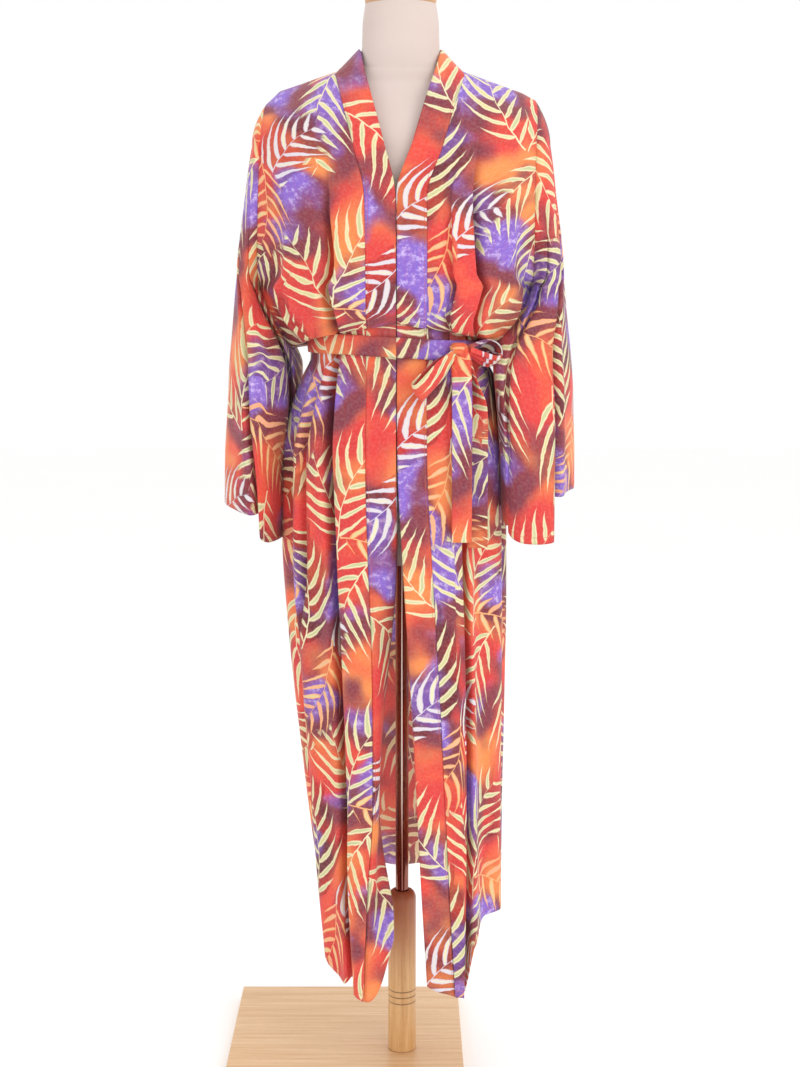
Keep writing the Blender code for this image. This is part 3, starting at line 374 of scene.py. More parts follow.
def pointsAt(spots, places, points):
    return np.stack([np.interp(spots, places, points[:, k]) for k in range(3)], axis=1)


def along(points, shares):
    lengths = lengthsAlong(points)
    return pointsAt(shares, lengths / lengths[-1], points)


def lineLength(points):
    return lengthsAlong(points)[-1]


def unit(vectors):
    return vectors / np.maximum(np.linalg.norm(vectors, axis=-1, keepdims=True), 1e-12)


def quarter(cloth, half, front):
    # from the middle to the side edge, which stops short of the full ring beside an armhole
    edge = ring("open" + letter[half], cloth) if front else 0.0
    wide = half * ring("wide" + letter[half], cloth)
    middle = ring("fore" if front else "rear", cloth)
    arm = ring("armF" if front else "armB", cloth)
    square = ring("square", cloth)
    spare = np.clip((arm - robe["sideY"]) / (middle - robe["sideY"]), 0, 1)
    last = (1 - spare ** (1 / robe["rounding"])) ** (1 / square)
    share = last * np.sin(np.linspace(0, math.pi / 2, linePoints))
    x = edge + (wide - edge) * share / last
    y = robe["sideY"] + (middle - robe["sideY"]) * np.clip(1 - share**square, 0, 1) ** robe["rounding"]
    steps = np.hypot(np.diff(x), np.diff(y))
    done = np.concatenate([[0], np.cumsum(steps)]) / steps.sum()
    high = ring("front" if front else "back", cloth)
    z = high + (ring("side", cloth) - high) * done
    return np.stack([x, y, z], axis=1) * mm


def mirrored(point, half):
    return np.array([half * point[0], point[1], point[2]]) * mm


def shoulderFront(half):
    return np.array([mirrored(p[half], half) for p in (collarTop, neckPoint, shoulderRound, shoulderTip)])


def shoulderBack(half):
    tip, bend, neck = (mirrored(p[half], half) for p in (shoulderTip, shoulderRound, neckPoint))
    rear = np.array(backNeck) * mm
    turn = np.linspace(0, math.pi / 2, 33)[:, None]
    curve = np.array([rear[0], neck[1], 0]) + np.cos(turn) * (neck - rear) * [1, 0, 0]
    curve = curve + np.sin(turn) * [0, rear[1] - neck[1], 0]
    curve[:, 2] = neck[2] + (rear[2] - neck[2]) * np.sin(turn[:, 0])
    return np.vstack([tip, bend, curve])


def bodyLine(cloth, half, front):
    if cloth >= robe["shoulderCloth"]:
        line = quarter(cloth, half, front)
        return line if front else line[::-1]
    shares = np.linspace(0, 1, linePoints)
    top = along(shoulderFront(half) if front else shoulderBack(half), shares)
    low = along(bodyLine(robe["shoulderCloth"], half, front), shares)
    part = cloth / robe["shoulderCloth"]
    return top + (low - top) * np.array([part, part, part ** robe["shoulderBend"]])


def foldShift(folds, stations, depthNames, half, around, at):
    # broad folds, as deep at each station as the named column says
    out, aside = np.zeros_like(around), np.zeros_like(around)
    for i in np.flatnonzero(folds["half"] == half):
        depths = [folds[name][i] if name else 0.0 for name in depthNames]
        near = np.clip((around - folds["at"][i]) / folds["wide"][i], -1, 1)
        bump = smooth(stations, depths, at) * 0.5 * (1 + np.cos(math.pi * near))
        out += bump
        aside += folds["lean"][i] * np.abs(bump)
    return out * mm, aside * mm


def creaseShift(rows, half, around, cloth):
    # soft troughs and ridges that fade out at both ends
    total = np.zeros_like(around)
    for i in np.flatnonzero(rows["half"] == half):
        start = np.array([rows["at0"][i] * creaseScale, rows["cloth0"][i]])
        run = np.array([rows["at1"][i] * creaseScale, rows["cloth1"][i]]) - start
        long = np.hypot(*run)
        dx, dy = around * creaseScale - start[0], cloth - start[1]
        t = (dx * run[0] + dy * run[1]) / long**2
        off = (dx * run[1] - dy * run[0]) / long
        fade = np.sin(math.pi * np.clip(t, 0, 1)) ** 0.8
        total += rows["depth"][i] * fade * np.exp(-((off / rows["wide"][i]) ** 2))
    return total * mm


def gatherShift(half, around, cloth):
    total = np.zeros_like(around)
    below = cloth - robe["beltCloth"]
    held = 1 - robe["beltGrip"] * math.exp(-((below / robe["beltReach"]) ** 2))
    for i in np.flatnonzero(gathers["half"] == half):
        reach = gathers["down"][i] if below > 0 else gathers["up"][i]
        off = (around - gathers["at"][i]) * creaseScale
        depth = gathers["depth"][i] * math.exp(-abs(below) / reach)
        total += depth * np.exp(-((off / gathers["wide"][i]) ** 2))
    return total * held * mm


def pleatRow(at, stations, length, start, end, folds, runs):
    # places along one row, how far each stands out, and the order of the cloth where strips overlap
    shares, spots = [], []
    begin = start
    turn = pleatLook["turn"]
    for fold, count in zip(folds, runs):
        spot = smooth(stations, fold["place"], at)
        weight = np.clip(smooth(stations, fold["strength"], at), 0, 1)
        under = fold["under"] * mm / length
        slack = pleatLook["slack"] / length * (1 - weight)
        back, out = spot - fold["over"] * weight * under + slack, spot + 2 * slack
        spots.append((len(shares) + count, spot, back, out, weight))
        shares += list(np.linspace(begin, spot, count, endpoint=False))
        shares += list(np.linspace(spot, back, turn, endpoint=False))
        shares += list(np.linspace(back, out, turn, endpoint=False))
        begin = out
    shares = np.array(shares + list(np.linspace(begin, end, runs[-1])))
    lifts, order = np.zeros_like(shares), shares.copy()
    number = np.arange(len(shares))
    for fold, (first, spot, back, out, weight) in zip(folds, spots):
        lift, under, over = fold["lift"] * mm, fold["under"] * mm, fold["over"]
        dip, gap, reach = fold["dip"] * mm, pleatLook["gap"], pleatLook["reach"]
        t = np.clip((number - first) / turn, 0, 2)
        share = np.clip(t if over == 1 else 2 - t, 0, 1)
        top = lift * np.exp(-np.abs(shares - spot) * length / reach)
        middle = lift - (lift + dip) * share**0.8 - gap * (1 - np.exp(-6 * share))
        # the lower strip lies deep under the fold and comes back up beside it
        away = np.abs(shares - back) * length
        beyond = np.maximum(0, over * (shares - spot)) * length / (fold["trough"] * mm)
        low = -(dip + 2 * gap) * np.exp(-(beyond**2)) + gap * np.exp(-6 * away / under)
        low = low + fold["crest"] * mm * np.exp(-((beyond - 2) ** 2))
        if over == 1:
            shift = np.where(t <= 0, top, np.where(t < 1, middle, low))
            turned = np.clip(t, 0, 1)
        else:
            shift = np.where(t < 1, low, np.where(t < 2, middle, top))
            turned = np.clip(t - 1, 0, 1)
        lifts += shift * weight
        order = np.where((t > 0) & (t < 2), spot + fold["span"] * turned, order)
        order = np.where(t >= 2, np.maximum(order, spot + fold["span"]), order)
    return shares, lifts, order


def bodyPoints(cloth, half, front, shares, lifts=0.0, order=None):
    points = along(bodyLine(cloth, half, front), shares)
    around = np.asarray(shares, float) + (0 if front else 1)
    out, aside = foldShift(bodyFolds, foldCloth, foldDepths, half, around, cloth)
    ease = np.clip((cloth - robe["creaseFrom"]) / robe["creaseFade"], 0, 1)
    out = out + ease * (creaseShift(creases, half, around, cloth) + gatherShift(half, around, cloth))
    angle = around * math.pi / 2
    normal = np.stack([half * np.sin(angle), -np.cos(angle), 0 * angle], axis=1)
    tangent = np.stack([half * np.cos(angle), np.sin(angle), 0 * angle], axis=1)
    below = (cloth - robe["beltCloth"]) / (robe["hemCloth"] - robe["beltCloth"])
    reach = np.clip(below, 0, 1) ** robe["dropEase"]
    where = around if order is None else order + (0 if front else 1)
    drop = smooth(hemDrop["around"], hemDrop[letter[half]], where) * mm * reach
    points = points + normal * out[:, None] + tangent * aside[:, None]
    # sharp folds are pressed nearly straight to the front or back
    middle = 0 if front else math.pi
    pressed = middle + (angle - middle) * pleatLook["splay"]
    facing = np.stack([half * np.sin(pressed), -np.cos(pressed), 0 * angle], axis=1)
    points = points + facing * (lifts + 0 * angle)[:, None]
    points[:, 2] -= drop
    return points, drop


def bandShare(cloth, half):
    if cloth < robe["shoulderCloth"]:
        line = shoulderFront(half)
        top = lineLength(line[:2]) / lineLength(line)
        low = bandShare(robe["shoulderCloth"], half)
        return top + (low - top) * cloth / robe["shoulderCloth"]
    return robe["bandWide"] / lineLength(quarter(cloth, half, True))


clothRows = np.concatenate(
    [np.arange(0, 380, 5.0), np.arange(380, 520, 3.5), np.arange(520, 1286, 5.0), [1287, 1291, 1295]]
)
frontRuns = {left: (26, 18, 34), right: (18, 18, 40)}
backRuns = {left: (16, 14, 16), right: (14, 14, 18)}
bandColumns = 14
# the picture's left front edge turns in below the hip: degrees by place on the cloth
bandTurn = table(
    "cloth L R",
    [
        (0, 0, 0), (620, 0, 0), (700, 10, 0), (766, 25, 0), (855, 53, 0), (952, 75, 0), (1016, 87, 0),
        (1065, 98, 0), (1115, 89, 0), (1152, 78, 0), (1188, 66, 0), (1230, 42, 0), (1265, 18, 0),
        (1295, 6, 0),
    ],
)
turnRun = 0.33  # share of the band's width that bends


def turnedIn(strip, half, degrees):
    # the band bent inward about its seam, which is the last column
    steps = (strip[:-1] - strip[1:])[::-1]
    share = (np.arange(len(steps)) + 0.5) / len(steps)
    angle = -half * np.radians(degrees) * np.clip(share / turnRun, 0, 1)
    x = steps[:, 0] * np.cos(angle) - steps[:, 1] * np.sin(angle)
    y = steps[:, 0] * np.sin(angle) + steps[:, 1] * np.cos(angle)
    bent = np.cumsum(np.stack([x, y, steps[:, 2]], axis=1), axis=0)
    return np.vstack([(strip[-1] + bent)[::-1], strip[-1:]])


fronts, frontDrops, strips, stripDrops = {}, {}, {}, {}
for half in (left, right):
    grid, drops, strip, stripDrop = [], [], [], []
    for cloth in clothRows:
        start = bandShare(cloth, half)
        length = lineLength(bodyLine(cloth, half, True))
        row = pleatRow(cloth, pleatCloth, length, start, 1.0, pleats[half, "front"], frontRuns[half])
        points, drop = bodyPoints(cloth, half, True, *row)
        grid.append(points)
        drops.append(drop)
        points, drop = bodyPoints(cloth, half, True, np.linspace(0, start, bandColumns))
        degrees = smooth(bandTurn["cloth"], bandTurn[letter[half]], cloth)
        strip.append(turnedIn(points, half, degrees))
        stripDrop.append(drop)
    fronts[half], frontDrops[half] = np.array(grid), np.array(drops)
    strips[half], stripDrops[half] = np.array(strip), np.array(stripDrop)

back, backDrop = [], []
for cloth in clothRows:
    sides = {}
    for half in (left, right):
        length = lineLength(bodyLine(cloth, half, False))
        row = pleatRow(cloth, pleatCloth, length, 0.0, 1.0, pleats[half, "back"], backRuns[half])
        sides[half] = bodyPoints(cloth, half, False, *row)
    middle = (sides[left][0][-1:] + sides[right][0][-1:]) / 2
    back.append(np.vstack([sides[left][0][:-1], middle, sides[right][0][-2::-1]]))
    backDrop.append(np.concatenate([sides[left][1], sides[right][1][-2::-1]]))
back, backDrop = np.array(back), np.array(backDrop)
print("body rows laid:", len(clothRows))


# lap is how far the inner edge lies towards the front, or the back where it is below 0
sleeveRings = table(
    "height outL outR inL inR middle half lapL lapR",
    [
        (770, 250, 245, 164, 139, 8, 76, -62, 64), (880, 247, 243.5, 160, 136, 8, 77, -62, 66),
        (960, 243, 242, 148, 131, 8, 78, -60, 68), (1020, 240, 238, 144, 126, 7, 74, -50, 62),
        (1050, 237, 235, 154, 132, 6, 68, -30, 46), (1085, 234, 231, 176, 160, 5, 58, -8, 18),
        (1122, 231, 227.5, 195, 178, 4, 50, 0, 0), (1140, 229, 225.5, 196, 178, 4, 53, 0, 0),
        (1165, 227, 223, 196, 179, 4, 60, 0, 0), (1222, 220, 216, 195, 179, 4, 64, 0, 0),
        (1290, 210, 208, 193, 180, 3, 60, 0, 0), (1346, 200, 198, 190, 181, 2, 49, 0, 0),
        (1386, 193, 189, 188, 181, 2, 20, 0, 0),
    ],
)
cuffs = table(
    "around L R",
    [
        (0.00, 788, 824), (0.06, 779, 804), (0.12, 773, 784), (0.18, 772, 777), (0.215, 777, 775.5),
        (0.255, 812, 774.5), (0.30, 814, 775), (0.345, 816, 838), (0.42, 819, 842), (0.52, 824, 843),
        (0.70, 818, 834), (0.88, 802, 824), (1.00, 790, 824),
    ],
)
sleeveFolds = table(
    "half at wide lean upper elbow cuff",
    [
        (left, 0.17, 0.12, 0.20, 0, 6, 8), (left, 0.36, 0.11, 0.20, -2, -6, -6),
        (left, 0.52, 0.11, 0.20, 2, 5, 4), (left, 0.70, 0.10, 0.20, -3, -8, -9),
        (left, 0.84, 0.09, -0.30, 2, 7, 8),
        (right, 0.21, 0.12, 0.20, 2, 7, 8), (right, 0.41, 0.09, 0.20, -2, -6, -6),
        (right, 0.56, 0.09, 0.20, 1, 4, 3), (right, 0.71, 0.10, 0.20, -3, -8, -9),
        (right, 0.85, 0.09, -0.30, 2, 7, 8),
    ],
)
sleeveFoldHeights = np.array([780, 960, 1165, 1320], float)
sleeveFoldDepths = ("cuff", "elbow", "upper", None)
sleeveStations = np.array([770, 850, 960, 1060, 1160, 1260, 1380], float)
sleevePleats = {
    left: [
        dict(
            over=1, under=8, lift=2.5, dip=7.0, trough=7.0, crest=2.0, span=0.0,
            place=(0.08, 0.09, 0.10, 0.12, 0.13, 0.13, 0.13), strength=(0, 0.1, 0.7, 1, 0.3, 0, 0),
        ),
        dict(
            over=1, under=13, lift=4.0, dip=11.0, trough=7.0, crest=4.0, span=0.04,
            place=(0.215, 0.235, 0.295, 0.315, 0.30, 0.30, 0.30), strength=(1, 1, 1, 1, 0.8, 0.5, 0),
        ),
    ],
    right: [
        dict(
            over=1, under=9, lift=3.0, dip=8.0, trough=7.0, crest=2.0, span=0.0,
            place=(0.06, 0.08, 0.10, 0.13, 0.14, 0.14, 0.14), strength=(0, 0, 0.8, 1, 0.4, 0, 0),
        ),
        dict(
            over=1, under=15, lift=4.0, dip=11.0, trough=7.0, crest=4.0, span=0.04,
            place=(0.302, 0.306, 0.313, 0.316, 0.31, 0.31, 0.32), strength=(1, 1, 1, 1, 0.8, 0.4, 0),
        ),
    ],
}
# at counts once round the sleeve; cloth0 and cloth1 are heights here
sleeveCreases = table(
    "half at0 cloth0 at1 cloth1 wide depth",
    [
        (left, 0.02, 1120, 0.30, 1010, 9, 3.4), (left, 0.04, 1080, 0.24, 960, 8, -2.8),
        (left, 0.03, 1040, 0.20, 900, 9, 2.4), (left, 0.30, 1230, 0.42, 1020, 12, 2.6),
        (left, 0.44, 1180, 0.50, 900, 12, -2.2), (left, 0.60, 1200, 0.64, 930, 12, 2.6),
        (left, 0.98, 1110, 0.78, 990, 9, 3.0), (left, 0.96, 1060, 0.80, 930, 9, -2.4),
        (left, 0.34, 960, 0.38, 830, 10, 2.0), (right, 0.02, 1130, 0.28, 1030, 9, 3.4),
        (right, 0.03, 1090, 0.26, 980, 8, -3.0), (right, 0.03, 1050, 0.18, 900, 9, 2.6),
        (right, 0.36, 1250, 0.42, 1040, 12, 2.4), (right, 0.46, 1180, 0.50, 900, 12, -2.0),
        (right, 0.62, 1220, 0.66, 940, 12, 2.4), (right, 0.98, 1110, 0.80, 1000, 9, 2.8),
        (right, 0.96, 1060, 0.82, 920, 9, -2.4), (right, 0.40, 980, 0.44, 850, 10, 1.8),
    ],
)
sleeveRuns = {left: (12, 16, 72), right: (12, 20, 66)}
# round is metres; top, cuff and headRow are millimetres
sleeveCut = dict(round=0.33, top=1380, cuff=800, headRow=105, rows=76)


def sleeveValue(name, height):
    return smooth(sleeveRings["height"], sleeveRings[name], height)


def sleeveLoop(half, heights, first, last, around, lifts):
    # an oval from the front edge round the outer side to the back edge
    level = np.mean(heights)
    out = sleeveValue("out" + letter[half], level) * mm
    gap, middle = (last[1] - first[1]) / 2, (last[1] + first[1]) / 2
    deep = max(sleeveValue("half", level) * mm, gap * 1.02)
    openAngle = math.asin(min(gap / deep, 1.0))
    inner = half * (first[0] + last[0]) / 2
    reach = (out - inner) / (1 + math.cos(openAngle))
    angle = -(math.pi - openAngle) + 2 * (math.pi - openAngle) * around
    push, slide = foldShift(sleeveFolds, sleeveFoldHeights, sleeveFoldDepths, half, around, level)
    push = push + creaseShift(sleeveCreases, half, around, heights)
    ease = np.clip(np.sin(math.pi * np.clip(around, 0, 1)), 0, 1) ** 0.5
    push, slide = push * ease + lifts, slide * ease
    x = out - reach + reach * np.cos(angle) + push * np.cos(angle) - slide * np.sin(angle)
    y = middle + deep * np.sin(angle) + push * np.sin(angle) + slide * np.cos(angle)
    lap = sleeveValue("lap" + letter[half], level) * mm
    y = y - lap * ((1 - np.cos(angle)) / 2) ** 3
    return np.stack([half * x, y, heights * mm], axis=1)


sleeves = {}
for half in (left, right):

    def edges(cloth):
        front = bodyPoints(cloth, half, True, np.array([1.0]))[0][0]
        rear = bodyPoints(cloth, half, False, np.array([0.0]))[0][0]
        return front, rear

    def sleeveRow(height):
        sizes = (sleeveCut["round"], 0.0, 1.0, sleevePleats[half], sleeveRuns[half])
        return pleatRow(height, sleeveStations, *sizes)

    topAround = sleeveRow(sleeveCut["top"])[0]
    headRows = np.arange(robe["headCloth"], -1, -5.0)
    head = np.array([edges(c)[0] for c in headRows] + [edges(c)[1] for c in headRows[::-1]][1:])
    rows = [along(head, topAround)]
    for cloth in np.arange(sleeveCut["headRow"], robe["underarmCloth"] + 1, 5.0):
        first, last = edges(cloth)
        underarm = (first[2] + last[2]) / 2 / mm
        around, lifts, order = sleeveRow(underarm)
        heights = (first[2] + (last[2] - first[2]) * np.clip(around, 0, 1)) / mm
        rows.append(sleeveLoop(half, heights, first, last, around, lifts))
    for step in np.linspace(0, 1, sleeveCut["rows"])[1:]:
        around, lifts, order = sleeveRow(underarm + (sleeveCut["cuff"] - underarm) * step)
        cuff = smooth(cuffs["around"], cuffs[letter[half]], order)
        heights = underarm + (cuff - underarm) * step
        level = np.mean(heights)
        inner, middle = half * sleeveValue("in" + letter[half], level), sleeveValue("middle", level)
        ends = np.array([inner, middle, heights[0]]) * mm
        rows.append(sleeveLoop(half, heights, ends, ends, around, lifts))
    grid = np.array(rows)
    # the head stands a little full over the armhole seam
    swell = half * robe["headFull"] * 4 * np.sin(math.pi * topAround) ** 0.7
    between = []
    for part in np.linspace(0, 1, 9)[1:-1]:
        row = grid[0] + (grid[1] - grid[0]) * part
        row[:, 0] += swell * part * (1 - part)
        between.append(row)
    sleeves[half] = np.concatenate([grid[:1], np.array(between), grid[1:]])
print("sleeves laid")


# the print: palm fronds, laid out afresh, on a tie-dyed ground
dye = dict(
    red="#D93C3A", scarlet="#E85A3C", orange="#F0904E", amber="#F2AE74", plum="#803444", purple="#8464C8",
    lavender="#CABAEC", leaf="#DACD92", mint="#BEC392", cream="#EADFB4", lilac="#DAD2DC", rose="#F0A284",
    overdye="#B87884", blot=0.130, salt=0.011, thread=0.0012,
    tile=(0.31, 0.38), leaflets=7.5, leafHalf=0.21, stemHalf=0.0070, reach=(0.24, 0.12), tipFine=0.03,
    ease=0.045,
)
# middle across and down the repeat in metres, turn in degrees, length in metres, bend of the stem,
# lean and hook of the leaflets, colouring
fronds = [
    (0.050, 0.050, 65, 0.175, 0.9, 0.60, 2.2, "pale"),
    (0.165, 0.030, 205, 0.160, -0.8, 0.50, 2.6, "plum"),
    (0.265, 0.075, 120, 0.180, 1.0, 0.65, 2.0, "pale"),
    (0.120, 0.140, 330, 0.160, 0.8, 0.50, 2.6, "ember"),
    (0.210, 0.185, 95, 0.175, -1.0, 0.65, 2.0, "plum"),
    (0.035, 0.220, 250, 0.170, -0.7, 0.60, 2.2, "pale"),
    (0.285, 0.265, 40, 0.150, 0.9, 0.50, 2.6, "white"),
    (0.130, 0.295, 285, 0.175, -0.9, 0.60, 2.2, "pale"),
    (0.225, 0.340, 240, 0.150, 0.9, 0.60, 2.2, "ember"),
]
frondKinds = {  # colour of the leaf's edge, two colours of its middle, how dark the cloth between is overdyed
    "pale": ("cream", "leaf", "mint", 0.15),
    "plum": ("cream", "leaf", "mint", 0.70),
    "white": ("lilac", "lilac", "cream", 0.50),
    "ember": ("amber", "rose", "leaf", 0.20),
}


def palmFrond():
    # says where one frond's leaflets and stem are, and the space it takes up
    group = bpy.data.node_groups.new("palm frond", "ShaderNodeTree")
    for name in ("Cloth", "Place"):
        group.interface.new_socket(name, in_out="INPUT", socket_type="NodeSocketVector")
    for name in ("Turn", "Long", "Bend", "Lean", "Hook", "Seed"):
        group.interface.new_socket(name, in_out="INPUT", socket_type="NodeSocketFloat")
    for name in ("Leaf", "Core", "Inside", "Tone"):
        group.interface.new_socket(name, in_out="OUTPUT", socket_type="NodeSocketFloat")
    given = group.nodes.new("NodeGroupInput").outputs
    add = partial(addNode, group)
    wide, high = dye["tile"][0] / 2, dye["tile"][1] / 2

    away = add("VectorMath", given["Cloth"], given["Place"], operation="SUBTRACT")
    near = add("VectorMath", away, (wide, high, 1), (-wide, -high, -1), operation="WRAP")
    turned = add("VectorRotate", near, named={"Angle": given["Turn"]}, rotation_type="Z_AXIS")
    size = add("Math", 1.0, given["Long"], operation="DIVIDE")
    sized = add("VectorMath", turned, named={"Scale": size}, operation="SCALE")
    x, y = add("SeparateXYZ", sized, out=None)[:2]
    # the stem is an arc: lengths along it and away from it
    bend = add("Math", given["Bend"], operation="ABSOLUTE")
    radius = add("Math", 1.0, bend, operation="DIVIDE")
    sense = add("Math", given["Bend"], operation="SIGN")
    height = add("Math", sense, y, operation="MULTIPLY")
    toMiddle = add("Math", radius, height, operation="SUBTRACT")
    angle = add("Math", x, toMiddle, operation="ARCTAN2")
    along = add("Math", angle, radius, 0.5, operation="MULTIPLY_ADD")
    spoke = add("VectorMath", add("CombineXYZ", x, toMiddle), out="Value", operation="LENGTH")
    across = add("Math", sense, add("Math", radius, spoke, operation="SUBTRACT"), operation="MULTIPLY")
    side = add("Math", across, 0.0, operation="GREATER_THAN")
    away = add("Math", across, operation="ABSOLUTE")
    # each leaflet is followed back to its root on the stem
    slope = add("Math", away, given["Hook"], given["Lean"], operation="MULTIPLY_ADD")
    root = add("Math", along, add("Math", away, slope, operation="MULTIPLY"), operation="SUBTRACT")
    stagger = add("Math", side, 0.5, given["Seed"], operation="MULTIPLY_ADD")
    count = add("Math", root, dye["leaflets"], stagger, operation="MULTIPLY_ADD")
    number = add("Math", count, operation="FLOOR")
    slot = add("Math", count, operation="FRACT")
    key = add("CombineXYZ", number, add("Math", side, 17.0, given["Seed"], operation="MULTIPLY_ADD"))
    dice = add("SeparateColor", add("TexWhiteNoise", key, out="Color", noise_dimensions="2D"), out=None)
    rise = add("MapRange", root, -0.12, 0.30, 0.45, 1.0, **softEdge)
    fall = add("MapRange", root, 0.35, 1.00, 1.0, 0.45, **softEdge)
    reach = add("Math", dice[0], dye["reach"][1], dye["reach"][0], operation="MULTIPLY_ADD")
    reach = add("Math", reach, add("Math", rise, fall, operation="MULTIPLY"), operation="MULTIPLY")
    part = add("Math", away, reach, operation="DIVIDE", use_clamp=True)
    belly = add("Math", add("Math", part, 0.75, operation="POWER"), math.pi, operation="MULTIPLY")
    belly = add("Math", add("Math", belly, operation="SINE"), 0.7, operation="POWER")
    foot = add("Math", part, -0.09, dye["tipFine"], operation="MULTIPLY_ADD")
    half = add("Math", belly, dye["leafHalf"], foot, operation="MULTIPLY_ADD")
    half = add("Math", half, add("Math", dice[1], 0.5, 0.75, operation="MULTIPLY_ADD"), operation="MULTIPLY")
    off = add("Math", add("Math", slot, 0.5, operation="SUBTRACT"), operation="ABSOLUTE")
    edge = add("Math", half, off, operation="SUBTRACT")
    blade = add("MapRange", edge, -0.05, 0.065, **softEdge)
    core = add("MapRange", edge, 0.06, 0.17, **softEdge)
    onStem = add("Math", root, 0.0, operation="GREATER_THAN")
    onStem = add("Math", onStem, add("Math", root, 0.94, operation="LESS_THAN"), operation="MULTIPLY")
    blade = add("Math", blade, onStem, operation="MULTIPLY")
    taper = add("Math", along, -0.8 * dye["stemHalf"], dye["stemHalf"], operation="MULTIPLY_ADD")
    stem = add("Math", taper, away, operation="SUBTRACT")
    stem = add("MapRange", stem, -0.002, 0.004, **softEdge)
    begun = add("Math", along, -0.06, operation="GREATER_THAN")
    ended = add("Math", along, 0.95, operation="LESS_THAN")
    stem = add("Math", stem, add("Math", begun, ended, operation="MULTIPLY"), operation="MULTIPLY")
    leaf = add("Math", blade, stem, operation="MAXIMUM")
    inside = add("MapRange", part, 0.75, 1.0, 1.0, 0.0, **softEdge)
    inside = add("Math", inside, onStem, operation="MULTIPLY")
    out = group.nodes.new("NodeGroupOutput").inputs
    for socket, source in (("Leaf", leaf), ("Core", core), ("Inside", inside), ("Tone", dice[2])):
        group.links.new(source, out[socket])
    return group


frondGroup = palmFrond()


def dyeField(add, place, size, low, high, detail=2.0, rough=0.5, shift=0.0):
    # soft patches of about the given size, in metres
    moved = add("VectorMath", place, (shift, shift * 1.7, 0.0), operation="ADD")
    noise = add("TexNoise", moved, named={"Scale": 1 / size, "Detail": detail, "Roughness": rough})
    return add("MapRange", noise, low, high, **softEdge)


def batikRayon(name, fade, washed, through=0.0):
    # printed rayon: soft drape, a low sheen and a weave that only shows close to
    made, add, shade = newMaterial(name)
    cloth = add("Attribute", out="Vector", attribute_name="cloth")
    sway = add("TexNoise", cloth, named={"Scale": 1 / 0.035, "Detail": 2.5}, out="Color")
    sway = add("VectorMath", sway, (0.008, 0.008, 0), cloth, operation="MULTIPLY_ADD")
    # tie-dyed ground: red and orange, with plum round the purple blots
    blot = dye["blot"]
    warm = dyeField(add, sway, blot, 0.44, 0.66, shift=0.31)
    ground = add("Mix", warm, named=colours(dye["red"], dye["orange"]), **mixed)
    bright = dyeField(add, sway, blot * 0.55, 0.50, 0.72, shift=1.13)
    ground = add("Mix", bright, named=colours(ground, dye["scarlet"]), **mixed)
    plum = dyeField(add, sway, blot, 0.44, 0.55, shift=2.07)
    ground = add("Mix", plum, named=colours(ground, dye["plum"]), **mixed)
    purple = dyeField(add, sway, blot, 0.525, 0.62, shift=2.08)
    ground = add("Mix", purple, named=colours(ground, dye["purple"]), **mixed)
    salt = dyeField(add, sway, dye["salt"], 0.48, 0.68, detail=5.0, rough=0.72, shift=4.0)
    salt = add("Math", salt, purple, operation="MULTIPLY")
    ground = add("Mix", salt, named=colours(ground, dye["lavender"]), **mixed)
    streaks = add("VectorMath", sway, (1 / 0.004, 1 / 0.030, 1), operation="MULTIPLY")
    streaks = add("TexNoise", streaks, named={"Scale": 1.0, "Detail": 3.0, "Roughness": 0.6})
    streaks = add("MapRange", streaks, 0.40, 0.75, 0.0, 0.45)
    ground = add("Mix", streaks, named=colours(ground, dye["rose"]), blend_type="SOFT_LIGHT", **mixed)
    # fronds drawn with wax, one over the other
    waver = add("TexNoise", cloth, named={"Scale": 1 / 0.006, "Detail": 1.0}, out="Color")
    waver = add("VectorMath", waver, (0.0016, 0.0016, 0), sway, operation="MULTIPLY_ADD")
    colour = ground
    for number, (across, down, turn, long, bend, lean, hook, kind) in enumerate(fronds):
        place = (across, down, 0)
        leaf, core, inside, tone = add("Group", waver, place, math.radians(turn), long, bend, lean, hook,
                                       number * 1.37, out=None, node_tree=frondGroup)
        rim, first, second, gapShare = frondKinds[kind]
        if fade:
            first, second = "leaf", "cream"
        overdyed = colours(ground, dye["overdye"])
        between = add("Mix", gapShare, named=overdyed, blend_type="MULTIPLY", **mixed)
        colour = add("Mix", inside, named=colours(colour, between), **mixed)
        blade = add("Mix", tone, named=colours(dye[first], dye[second]), **mixed)
        blade = add("Mix", core, named=colours(dye[rim], blade), **mixed)
        colour = add("Mix", leaf, named=colours(colour, blade), **mixed)
    if fade:  # the wrong side shows the print through, paler
        colour = add("Mix", fade, named=colours(colour, washed), **mixed)
    worn = dyeField(add, cloth, 0.004, 0.3, 0.8, detail=3.0)
    worn = add("Math", worn, 0.06, operation="MULTIPLY")
    colour = add("Mix", worn, named=colours(colour, "#FFF4E6"), **mixed)
    # threads drawn at 1.2 mm, coarser than the real 0.3 mm, so that they show at all
    weave = add("TexNoise", cloth, named={"Scale": 1 / dye["thread"], "Detail": 1.0})
    crumple = add("TexNoise", cloth, named={"Scale": 1 / 0.03, "Detail": 3.0})
    relief = add("Math", crumple, 6.0, weave, operation="MULTIPLY_ADD")
    bump = add("Bump", named={"Strength": 0.25, "Distance": 0.0004, "Height": relief})
    shade({"Base Color": colour, "Roughness": 0.62, "Specular IOR Level": 0.25, "Normal": bump})
    shade({"Sheen Weight": 0.12, "Sheen Roughness": 0.5})
    if through:  # painted glow: emission in the cloth's own colours stands in for daylight that comes through the thin cloth from behind
        shade({"Emission Color": colour, "Emission Strength": through})
    return made


rightSide = batikRayon("batik rayon, right side", 0.0, "#FFFFFF")
wrongSide = batikRayon("batik rayon, wrong side", 0.22, "#EBD6D2")
# the back panel's wrong side has the painted glow, for daylight through the cloth
litSide = batikRayon("batik rayon, wrong side of the back", 0.12, "#EBD6D2", 0.34)
print("print drawn:", len(fronds), "fronds to the repeat")


